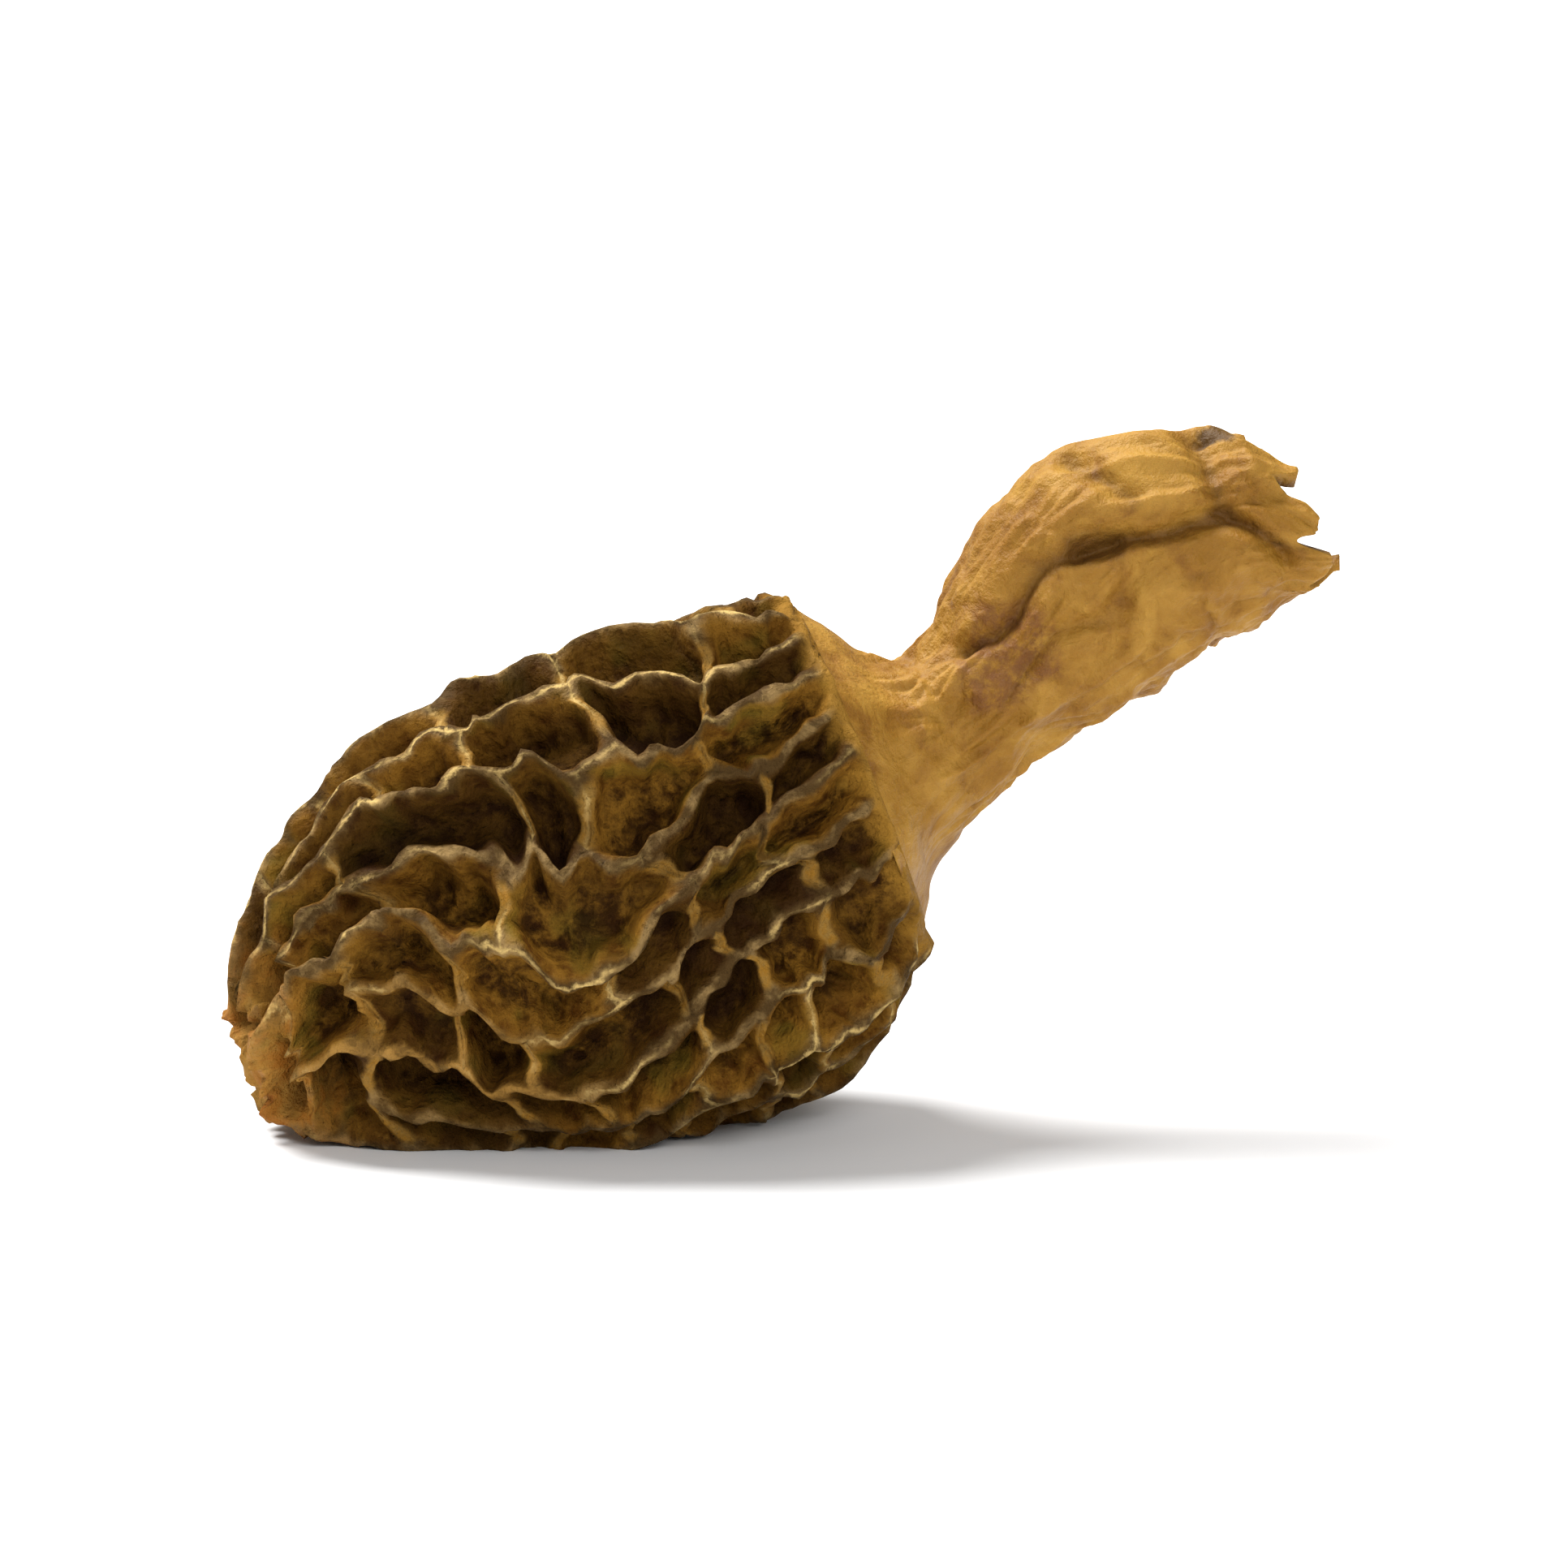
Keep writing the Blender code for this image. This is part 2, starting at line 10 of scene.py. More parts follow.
import bpy
import numpy as np
from bpy.props import FloatProperty, FloatVectorProperty, PointerProperty
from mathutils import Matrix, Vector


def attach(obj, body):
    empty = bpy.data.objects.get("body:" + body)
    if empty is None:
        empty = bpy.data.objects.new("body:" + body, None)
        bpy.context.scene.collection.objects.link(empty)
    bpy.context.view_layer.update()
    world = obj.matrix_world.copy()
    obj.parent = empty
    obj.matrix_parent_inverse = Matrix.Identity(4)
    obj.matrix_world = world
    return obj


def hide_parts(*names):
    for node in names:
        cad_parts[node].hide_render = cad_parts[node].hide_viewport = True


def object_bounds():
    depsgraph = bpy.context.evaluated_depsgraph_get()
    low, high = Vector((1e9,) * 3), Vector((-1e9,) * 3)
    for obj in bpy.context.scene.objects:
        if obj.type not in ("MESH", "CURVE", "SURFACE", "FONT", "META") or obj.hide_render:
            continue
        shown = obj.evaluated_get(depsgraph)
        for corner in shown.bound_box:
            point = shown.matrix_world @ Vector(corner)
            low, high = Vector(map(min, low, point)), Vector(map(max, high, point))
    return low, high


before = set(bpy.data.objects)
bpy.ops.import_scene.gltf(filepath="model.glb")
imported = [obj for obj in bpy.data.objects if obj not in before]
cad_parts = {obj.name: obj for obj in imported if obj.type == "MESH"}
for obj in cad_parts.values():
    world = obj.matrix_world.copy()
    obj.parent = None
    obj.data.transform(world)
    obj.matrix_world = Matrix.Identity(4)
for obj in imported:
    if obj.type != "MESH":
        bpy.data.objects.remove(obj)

bl_info = {
    "name": "Dried Morel",
    "version": (1, 0, 0),
    "blender": (4, 5, 0),
    "location": "3D View > Sidebar > Morel",
    "description": "Builds a dried morel with a netted cap and a torn, hollow stem",
    "category": "Object",
}

FRAME_BOX = [list(map(float, corner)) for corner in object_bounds()]
# A millimetre, and half the side of the floor, in metres.
MM = 0.001
FLOOR_REACH = 3.0

# How the morel lies, in degrees, and what moves it onto its place, in millimetres.
CAP_PITCH = 21.0
YAW = 8.0
PLACE = (22.9449, 2.1907, -4.8032)

# The cap, from its tip to its rim, in millimetres: the place along the axis, how far the
# section's centre lies above the axis, half the section's height and half its width.
CAP_STATIONS = (
    (-0.7, -1.9, 0.0, 0.0),
    (-0.3, -1.9, 2.4, 2.3),
    (0.6, -1.5, 4.1, 4.0),
    (2.2, -0.9, 5.6, 5.5),
    (5.0, -0.6, 7.3, 7.2),
    (8.5, -0.4, 9.2, 9.0),
    (13.0, -0.8, 10.5, 10.1),
    (17.5, -1.2, 10.9, 10.4),
    (22.0, -1.3, 10.65, 10.2),
    (25.5, -0.8, 9.85, 9.5),
    (27.6, -0.05, 8.75, 8.6),
    (28.3, 0.15, 7.95, 7.9),
)

# The net: ribs that run from the rim to the tip, and thin cross walls between them.
NET_SEED = 39
SECTORS = 5
RIBS = 4 * SECTORS
ROWS = 44
POLE_ROW = 3
MIDDLE_RIB_ROWS = (5, 7)
OUTER_RIB_ROWS = (8, 12)
LONG_PIT_ROWS = 6.6
SHORT_PIT_ROWS = 4.0
# How far a cross wall draws each of its ribs towards it, in rib spacings, over how many
# rows, and by how many rows a rib shifts its own.
JOINT_PULL = 0.15
JOINT_REACH = 1.4
ROW_SHIFT = 0.6
TABLE_STEPS = 10
RIB_WAVES = ((0, 2, 0.3), (1, 1, 0.4), (2, 1, 0.28), (3, 2, 0.18), (5, 3, 0.08), (7, 4, 0.05))
WALL_WAVES = ((3, 1, 0.012), (6, 3, 0.006), (9, 2, 0.009))
WALL_DROP = 0.55
RIB_UNEVEN = 0.2
# How far each of a sector's ribs rises. The first starts at the tip, the third later, and
# the others last.
RIB_RISE = (0.3, -0.15, 0.1, -0.15)

# The angle from the top towards -Y, in radians, round which pits are longest and walls low.
LONG_PITS_AT = 0.35
# Small wriggles of the crests, sideways in ribs and along in rows: the height of each wave,
# how it turns with the row and round the cap, and its phase.
SIDE_WRIGGLES = ((0.06, 1.9, 9, 0.0), (0.045, 3.1, -14, 1.0))
ROW_WRIGGLES = ((0.14, 0.8, 31, 0.0), (0.1, -1.1, 47, 0.0))

# How finely a pit's outline is drawn: steps to one row, and to one rib's spacing.
ROW_STEPS = 2
RIB_STEPS = 8
# A pit from its crest inwards: how far it is drawn in and how deep it lies.
PIT_PROFILE = (
    (0.0, 0.0),
    (0.1, 0.015),
    (0.21, 0.07),
    (0.3, 0.26),
    (0.38, 0.72),
    (0.48, 1.22),
    (0.62, 1.75),
    (0.85, 2.1),
)
FLOOR_SHARES = (0.8, 0.55, 0.3, 0.1)
FLOOR_DEPTH = 2.5
# The share of the depth that the narrowest pits have, and the share near the rim.
NARROW_DEPTH = 0.35
RIM_DEPTH = 0.55
# From how wide a pit has its full depth, from how long it has a ridge across, and how high.
FULL_DEPTH_WIDTH = 2.6
RIDGED_LENGTH = 2.4
RIDGE_HEIGHT = 0.75
# Relief as layers: the height and the length of its waves in millimetres, and a seed. First
# that of the whole cap, then the wrinkles of the pits' walls, then the crumpled tip.
CAP_RELIEF = ((0.06, 1.5, 5), (0.045, 0.8, 6), (0.2, 3.4, 7))
WALL_WRINKLES = (0.2, 1.9, 8)
TIP_RELIEF = ((0.3, 2.4, 12), (0.17, 1.1, 13))

# The rings that close the tip: the place along the cap and how far each is lifted.
TIP_RINGS = (
    (0.058, -0.6),
    (0.052, -0.75),
    (0.045, -0.68),
    (0.036, -0.55),
    (0.027, -0.4),
    (0.018, -0.25),
    (0.01, -0.18),
    (0.004, -0.15),
)

# The radii of the rings that close the flat base, in millimetres.
BASE_RINGS = (7.3, 6.4, 5.0, 3.0, 1.0)

# The rib round which the cap is warmer in colour, from the tip to past its middle.
WARM_RIB = 5.7

# Long folds of the dried cap: the angle from the top at the tip and at the rim, in
# degrees, the depth in millimetres and the half width in degrees.
CAP_FOLDS = (
    (122.0, 100.0, 1.3, 14.0),
    (34.0, 70.0, 0.8, 13.0),
    (250.0, 264.0, 1.0, 15.0),
    (318.0, 306.0, 0.8, 14.0),
)

# The stem's centre line, in millimetres from the middle of the cap's base, with half the
# height and half the width of the stem there. It flares where it joins the cap.
STEM_STATIONS = (
    (0.0, 0.0, 7.5, 7.5),
    (0.5, 0.2, 6.3, 6.4),
    (1.3, 0.4, 5.0, 5.2),
    (2.4, 0.85, 4.1, 4.5),
    (3.9, 1.65, 3.5, 3.9),
    (5.6, 3.1, 3.75, 3.9),
    (7.3, 4.85, 4.5, 4.2),
    (9.7, 7.1, 5.1, 4.6),
    (13.1, 9.2, 5.0, 4.6),
    (16.7, 9.7, 3.9, 4.1),
    (20.2, 9.2, 1.7, 3.2),
)
STEM_LENGTH = 26.0
STEM_RADIUS = 4.3
STEM_SIDES = 300
STEM_RINGS = 200
STEM_INNER_RINGS = 60
STEM_WALL = 0.9
LIP_WALL = 0.78
# Where the hollow ends, and the share of the outside's relief that the inside has.
INNER_FROM = 0.3
INNER_RELIEF = 0.55

# How far along the stem its torn edge lies, by the angle from the top in degrees, towards
# the side that faces -Y. The slit at 84 degrees parts the upper lip from the lower one.
TORN_EDGE = (
    (0.0, 0.83),
    (16.0, 0.86),
    (30.0, 0.915),
    (42.0, 0.885),
    (60.0, 0.95),
    (74.0, 0.925),
    (84.0, 0.9),
    (93.0, 0.955),
    (108.0, 0.99),
    (122.0, 0.96),
    (142.0, 1.0),
    (165.0, 0.965),
    (185.0, 0.975),
    (215.0, 0.92),
    (235.0, 0.84),
    (255.0, 0.87),
    (285.0, 0.81),
    (325.0, 0.8),
)

# How ragged the torn edge is: the height of its waves as a share of the stem, their length
# in millimetres, and a seed; and the radius of the circle on which they run round it.
RAGGED_EDGE = ((0.018, 5.0, 31), (0.012, 2.4, 32), (0.003, 1.1, 33))
RAGGED_RADIUS = 9.0
# The stem's relief is laid out on straight tubes of this length and radius: a short one
# that draws its waves out along the stem, and one of nearly the stem's size.
SHORT_TUBE = (7.5, 3.2)
WHOLE_TUBE = (21.0, 4.2)
# Its layers: long folds, wrinkles, finer wrinkles, the crumpled mouth, dents and grain.
FOLDS = (0.55, 5.0, 20)
WRINKLES = (0.27, 2.2, 21)
FINE_WRINKLES = (0.16, 1.0, 22)
MOUTH_WRINKLES = (0.7, 3.6, 24)
DENTS = ((0.3, 7.0, 25), (0.035, 0.8, 23))

# How far the stem's foot is tucked into the cap, in millimetres, and over which share of
# the stem. Up to which share the foot flares, turns from the cap's heading to the stem's
# own, and is smooth.
FOOT_TUCK = 0.45
TUCKED_SHARE = 0.03
FLARED_SHARE = 0.2
TURNED_SHARE = 0.16
SMOOTH_SHARE = 0.14

# Creases of the stem: place along it and angle at each end, depth and half width in mm.
STEM_CREASES = (
    ((0.3, 46.0), (0.6, 62.0), 0.75, 0.6),
    ((0.56, 58.0), (0.88, 84.0), 0.8, 0.55),
    ((0.3, 80.0), (0.56, 88.0), 0.4, 0.6),
    ((0.62, 14.0), (0.66, 54.0), 0.6, 0.5),
    ((0.76, 10.0), (0.78, 62.0), 0.6, 0.55),
    ((0.3, 215.0), (0.75, 235.0), 0.8, 0.9),
    ((0.4, 318.0), (0.72, 300.0), 0.7, 0.8),
    ((0.35, 160.0), (0.8, 172.0), 0.35, 0.9),
)


# Smooth curves and waves


def curve_through(stations, t, measured=2):
    """Points at t, from 0 to 1 by length, on a smooth curve through the stations.

    The length is taken over the first value of a station and the measured one, and the
    curve is a cubic whose slope at a station is that of its two neighbours."""
    values = np.array(stations, float)
    steps = np.diff(values[:, [0, measured]], axis=0)
    knots = np.concatenate([[0.0], np.cumsum(np.hypot(*steps.T))])
    knots /= knots[-1]
    slopes = np.gradient(values, knots, axis=0)
    t = np.clip(np.asarray(t, float), 0.0, 1.0)
    i = np.clip(np.searchsorted(knots, t, side="right") - 1, 0, len(knots) - 2)
    span = knots[i + 1] - knots[i]
    x = (t - knots[i]) / span
    x, span = x[..., None], span[..., None]
    return (
        values[i] * (2 * x**3 - 3 * x**2 + 1)
        + values[i + 1] * (3 * x**2 - 2 * x**3)
        + slopes[i] * span * (x**3 - 2 * x**2 + x)
        + slopes[i + 1] * span * (x**3 - x**2)
    )


def waves(u, v, terms, seed):
    """A sum of sine waves round the cap (u in ribs) and along it (v from 0 to 1)."""
    draw = random.Random(seed)
    phases = [draw.uniform(0.0, 2.0 * math.pi) for _ in terms]
    total = np.zeros(np.broadcast(u, v).shape)
    for (k, turns, height), phase in zip(terms, phases):
        total += height * np.sin(2 * np.pi * (k * u / RIBS + turns * v) + phase)
    return total


def angle_apart(a, b):
    """The signed angle from b to a in degrees, within half a turn."""
    return (a - b + 180.0) % 360.0 - 180.0


def smooth_step(x):
    """0 below 0, 1 above 1, and a smooth rise between."""
    x = np.clip(x, 0.0, 1.0)
    return x * x * (3 - 2 * x)


def crumple(points, size, seed):
    """Seeded unevenness from about -1 to 1: sines of the place, whose own place is first
    bent by slower sines, so that no wave repeats. size is a wave's length in mm."""
    draw = np.random.default_rng(seed)
    place = np.asarray(points, float) * (2 * np.pi / size)
    for _ in range(2):
        turn = draw.normal(size=(3, 3))
        turn /= np.linalg.norm(turn, axis=1, keepdims=True)
        place = place + 1.2 * np.sin(place @ turn.T * 0.6 + draw.uniform(0, 2 * np.pi, 3))
    ways = draw.normal(size=(5, 3))
    ways /= np.linalg.norm(ways, axis=1, keepdims=True)
    return np.sin(place @ ways.T + draw.uniform(0, 2 * np.pi, 5)).mean(axis=-1) * 1.7


def relief(points, layers):
    """A sum of layers of unevenness."""
    return sum(height * crumple(points, size, seed) for height, size, seed in layers)


def valleys(points, layer):
    """A layer's height, and its unevenness with its troughs turned up: from 0 along sharp
    valleys to about 1."""
    height, size, seed = layer
    return height, np.abs(crumple(points, size, seed))


# The cap's skin and its net


def fold_press(angle, along):
    """How deep the long folds of the dried cap press in, in millimetres: each is a bell
    curve of the angle from its own middle, and all fade towards the tip and the rim."""
    press = np.zeros(angle.shape)
    for tip_angle, rim_angle, depth, half in CAP_FOLDS:
        middle = tip_angle + (rim_angle - tip_angle) * along
        press += depth * np.exp(-((angle_apart(angle, middle) / half) ** 2))
    return press * np.clip(along * 3.0, 0.0, 1.0) * np.clip((1.04 - along) * 6.0, 0.0, 1.0)


def cap_skin(u, v):
    """The cap's skin over its ridges: u counts ribs round it from the top towards -Y, and
    v runs from the tip to the rim. Each section is an ellipse, swayed by waves and pressed
    in along the folds."""
    sway = waves(u, v, RIB_WAVES, NET_SEED) * np.clip(v * 6.0, 0.0, 1.0)
    angle = (u + sway) * 360.0 / RIBS
    along = v + waves(u, v, WALL_WAVES, NET_SEED + 1) * np.clip(4 * v * (1 - v), 0, 1)
    axial, centre, half_height, half_width = np.moveaxis(
        curve_through(CAP_STATIONS, along), -1, 0
    )
    press = fold_press(angle, along)
    turn = np.radians(angle)
    return np.stack(
        [
            axial,
            -(half_width - press) * np.sin(turn),
            centre + (half_height - press) * np.cos(turn),
        ],
        axis=-1,
    )


def cap_point(u, v, lift=0.0):
    """A point of the cap's skin moved outwards along its normal by lift."""
    u, v = np.asarray(u, float), np.asarray(v, float)
    near = np.clip(v, 0.012, 0.988)
    step = 0.01
    round_way = cap_skin(u + step, near) - cap_skin(u - step, near)
    long_way = cap_skin(u, near + step) - cap_skin(u, near - step)
    normal = np.cross(round_way, long_way)
    normal /= np.linalg.norm(normal, axis=-1, keepdims=True)
    return cap_skin(u, v) + normal * np.asarray(lift, float)[..., None]


def upper_share(u):
    """1 on the upper side of the cap, 0 on its lower side, and between on the others."""
    return np.clip(0.5 + np.cos(2 * np.pi * u / RIBS - LONG_PITS_AT), 0, 1)


def pit_stack(draw, first_rib, last_rib, first_row, last_row):
    """Pits one behind the other between two ribs, longer on top of the cap than below."""
    top = upper_share((first_rib + last_rib) / 2)
    length = SHORT_PIT_ROWS + (LONG_PIT_ROWS - SHORT_PIT_ROWS) * top
    count = max(1, round((last_row - first_row) / length))
    pitch = (last_row - first_row) / count
    ends = [first_row]
    for k in range(1, count):
        row = round(first_row + pitch * (k + draw.uniform(-0.28, 0.28)))
        ends.append(min(max(row, ends[-1] + 3), last_row - 3))
    ends.append(last_row)
    return [(first_rib, last_rib, a, b) for a, b in zip(ends, ends[1:]) if b > a]


def net_pits():
    """Every pit of the net as (first rib, last rib, first row, last row)."""
    draw = random.Random(NET_SEED)
    pits = []
    for sector in range(SECTORS):
        rib = 4 * sector
        middle = draw.randint(*MIDDLE_RIB_ROWS)
        pits += pit_stack(draw, rib, rib + 4, POLE_ROW, middle)
        for half in (rib, rib + 2):
            outer = draw.randint(*OUTER_RIB_ROWS)
            pits += pit_stack(draw, half, half + 2, middle, outer)
            pits += pit_stack(draw, half, half + 1, outer, ROWS)
            pits += pit_stack(draw, half + 1, half + 2, outer, ROWS)
    return pits


def joint_tables(pits):
    """Two tables over the ribs and over TABLE_STEPS places to each row: how far a rib is
    drawn sideways by the cross walls that end on it, and how far its rows are shifted."""
    row = np.arange(TABLE_STEPS * ROWS + 1) / TABLE_STEPS
    drawn, shifted = np.zeros((2, RIBS, len(row)))
    joints = set()
    for a, b, first, last in pits:
        for joint in {first, last} - {POLE_ROW, ROWS}:
            joints |= {(a % RIBS, 1, joint), (b % RIBS, -1, joint)}
    for rib, way, joint in sorted(joints):
        drawn[rib] += way * JOINT_PULL * np.exp(-(((row - joint) / JOINT_REACH) ** 2))
    draw = random.Random(NET_SEED + 9)
    for rib in range(RIBS):
        slow, fast = draw.uniform(0.0, 6.3), draw.uniform(0.0, 6.3)
        shifted[rib] = ROW_SHIFT * (np.sin(0.45 * row + slow) + 0.4 * np.sin(1.1 * row + fast))
    fade = np.clip((row - POLE_ROW) / 4, 0, 1) * np.clip((ROWS - row) / 4, 0, 1)
    return drawn * fade, shifted * fade


def table_value(table, u, row):
    """The value of a table at a place of the net, between its own places."""
    rib, x = np.floor(u).astype(int), u - np.floor(u)
    step = np.clip((row * TABLE_STEPS).astype(int), 0, table.shape[1] - 2)
    y = row * TABLE_STEPS - step
    near = table[rib % RIBS, step] * (1 - y) + table[rib % RIBS, step + 1] * y
    far = table[(rib + 1) % RIBS, step] * (1 - y) + table[(rib + 1) % RIBS, step + 1] * y
    return near * (1 - x) + far * x


def net_point(u, row, lift):
    """A point of the cap at a place of the net, whose ribs zigzag from wall to wall."""
    u, row = np.asarray(u, float), np.asarray(row, float)
    drawn, shifted = table_value(DRAWN, u, row), table_value(SHIFTED, u, row)
    return cap_point(u + drawn, (row + shifted) / ROWS, lift)


PITS = net_pits()
DRAWN, SHIFTED = joint_tables(PITS)


def rounded(square, power=3.0):
    """Places of a pit's outline, from -1 to 1 each way, with its corners rounded off."""
    corner = (np.abs(square) ** power).sum(axis=-1, keepdims=True) ** (1 / power)
    return square / corner


def pit_outlines(pits):
    """The outline of every pit as steps round it: up its first rib, over its far wall,
    down its second rib and back. Returns places (u, row) and which pit each is of."""
    places, owners = [], []
    for k, (a, b, first, last) in enumerate(pits):
        up = np.arange(first * ROW_STEPS, last * ROW_STEPS) / ROW_STEPS
        over = np.arange(a * RIB_STEPS, b * RIB_STEPS) / RIB_STEPS
        down = np.arange(last * ROW_STEPS, first * ROW_STEPS, -1) / ROW_STEPS
        back = np.arange(b * RIB_STEPS, a * RIB_STEPS, -1) / RIB_STEPS
        u = np.concatenate([0 * up + a, over, 0 * down + b, back])
        row = np.concatenate([up, 0 * over + last, down, 0 * back + first])
        places.append(np.stack([u, row], axis=-1))
        owners.append(np.full(len(u), k))
    return np.concatenate(places), np.concatenate(owners)


def wriggle(u, row, terms):
    """A sum of small sine waves of the place on the net."""
    turn = 2 * np.pi * u / RIBS
    return sum(height * np.sin(k * row + n * turn + phase) for height, k, n, phase in terms)


def wriggled(u, row):
    """Places of the net moved by the small wriggles of its crests; not at rim and tip."""
    fade = np.clip((ROWS - row) / 2.0, 0, 1) * np.clip((row - POLE_ROW) / 2.0, 0, 1)
    side, along = wriggle(u, row, SIDE_WRIGGLES), wriggle(u, row, ROW_WRIGGLES)
    return u + side * fade, row + along * fade


def crest_lift(u, row):
    """How far the net's crest lies off the skin, and how far it is a rib's, from 0 to 1.
    Ribs are uneven and of several heights, and walls hang lower, most of all on top."""
    turn = 2 * np.pi * u / RIBS
    uneven = np.sin(7 * turn + 0.55 * row) * np.sin(0.9 * row + 5 * turn) - 1.0
    nearest = np.round(u)
    rise = np.array(RIB_RISE)[(nearest % 4).astype(int)]
    on_wall = np.clip(np.abs(u - nearest) / 0.3, 0, 1) * (row > POLE_ROW) * (row < ROWS)
    drop = WALL_DROP * (0.6 + upper_share(u))
    drop *= 1 + 0.5 * np.sin(5.1 * row + 2.0 * np.floor(u))
    inside = np.clip((ROWS - row) / 3.0, 0, 1)
    lift = RIB_UNEVEN * uneven + rise * inside * (1 - on_wall) - drop * on_wall
    return lift, 1 - on_wall


def to_world(points):
    """Turns points from the cap's frame so that its axis rises by the pitch."""
    rise = math.radians(CAP_PITCH)
    x, y, z = np.moveaxis(np.asarray(points, float), -1, 0)
    return np.stack(
        [x * math.cos(rise) - z * math.sin(rise), y, x * math.sin(rise) + z * math.cos(rise)],
        axis=-1,
    )


def set_down(points):
    """Points turned by the yaw, moved onto their place and pressed flat on the floor."""
    turn = math.radians(YAW)
    x, y, z = np.moveaxis(points, -1, 0)
    x, y = x * math.cos(turn) - y * math.sin(turn), x * math.sin(turn) + y * math.cos(turn)
    placed = np.stack([x, y, z], axis=-1) - np.array(PLACE)
    placed[..., 2] = np.maximum(placed[..., 2], 0.0)
    return placed * MM


# Meshes


def linked(name, data):
    """A new object of the scene."""
    item = bpy.data.objects.new(name, data)
    bpy.context.scene.collection.objects.link(item)
    return item


class Skin:
    """Gathers blocks of points and the faces between them, as whole arrays."""

    def __init__(self):
        self.points, self.faces, self.marks, self.count = [], [], {}, 0

    def add(self, points, **marks):
        """Adds points, with a number at each for every named mark. Returns their indices."""
        points = points.reshape(-1, 3)
        ids = np.arange(self.count, self.count + len(points))
        self.points.append(points)
        self.count += len(points)
        for name in dict.fromkeys((*self.marks, *marks)):
            column = self.marks.setdefault(name, [])
            missing = self.count - len(points) - sum(map(len, column))
            column.append(np.zeros(missing))
            value = np.broadcast_to(marks.get(name, 0.0), (len(points),))
            column.append(np.array(value, float))
        return ids

    def join(self, first, following, second, second_following):
        """Quads between two rings, given each point's index and that of the next one."""
        self.faces.append(np.stack([first, following, second_following, second], axis=-1))

    def cap_off(self, ring, way, **marks):
        """Closes a ring of an even number of points round its middle; way is 1 or -1."""
        hub = self.add(np.concatenate(self.points)[ring].mean(axis=0), **marks)
        fan = [ring[0::2], ring[1::2], np.roll(ring, -2)[0::2]][::way]
        self.faces.append(np.stack([0 * fan[0] + hub[0], *fan], axis=-1))

    def object(self, name, node, material):
        """The finished piece, which rides on the body and stands for its CAD node."""
        points, faces = np.concatenate(self.points), np.concatenate(self.faces)
        mesh = bpy.data.meshes.new(name)
        mesh.vertices.add(len(points))
        mesh.vertices.foreach_set("co", points.astype(np.float32).ravel())
        mesh.loops.add(faces.size)
        mesh.loops.foreach_set("vertex_index", faces.astype(np.int32).ravel())
        mesh.polygons.add(len(faces))
        mesh.polygons.foreach_set("loop_start", np.arange(0, faces.size, 4, dtype=np.int32))
        mesh.update(calc_edges=True)
        mesh.validate()
        mesh.shade_smooth()
        for mark, columns in self.marks.items():
            values = np.concatenate(columns).astype(np.float32)
            layer = mesh.attributes.new(mark, "FLOAT", "POINT")
            layer.data.foreach_set("value", values)
        mesh.materials.append(material)
        piece = linked(name, mesh)
        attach(piece, "root")
        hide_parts(node)
        return piece


def pit_levels():
    """The rings of a pit from its crest to near its middle: how far each is drawn in, how
    deep it lies, and how wide it is as a share of the floor's rim."""
    inset, rim_depth = PIT_PROFILE[-1]
    levels = [(*level, 1.0) for level in PIT_PROFILE]
    for share in FLOOR_SHARES:
        levels.append((inset, rim_depth + (FLOOR_DEPTH - rim_depth) * (1 - share), share))
    return levels


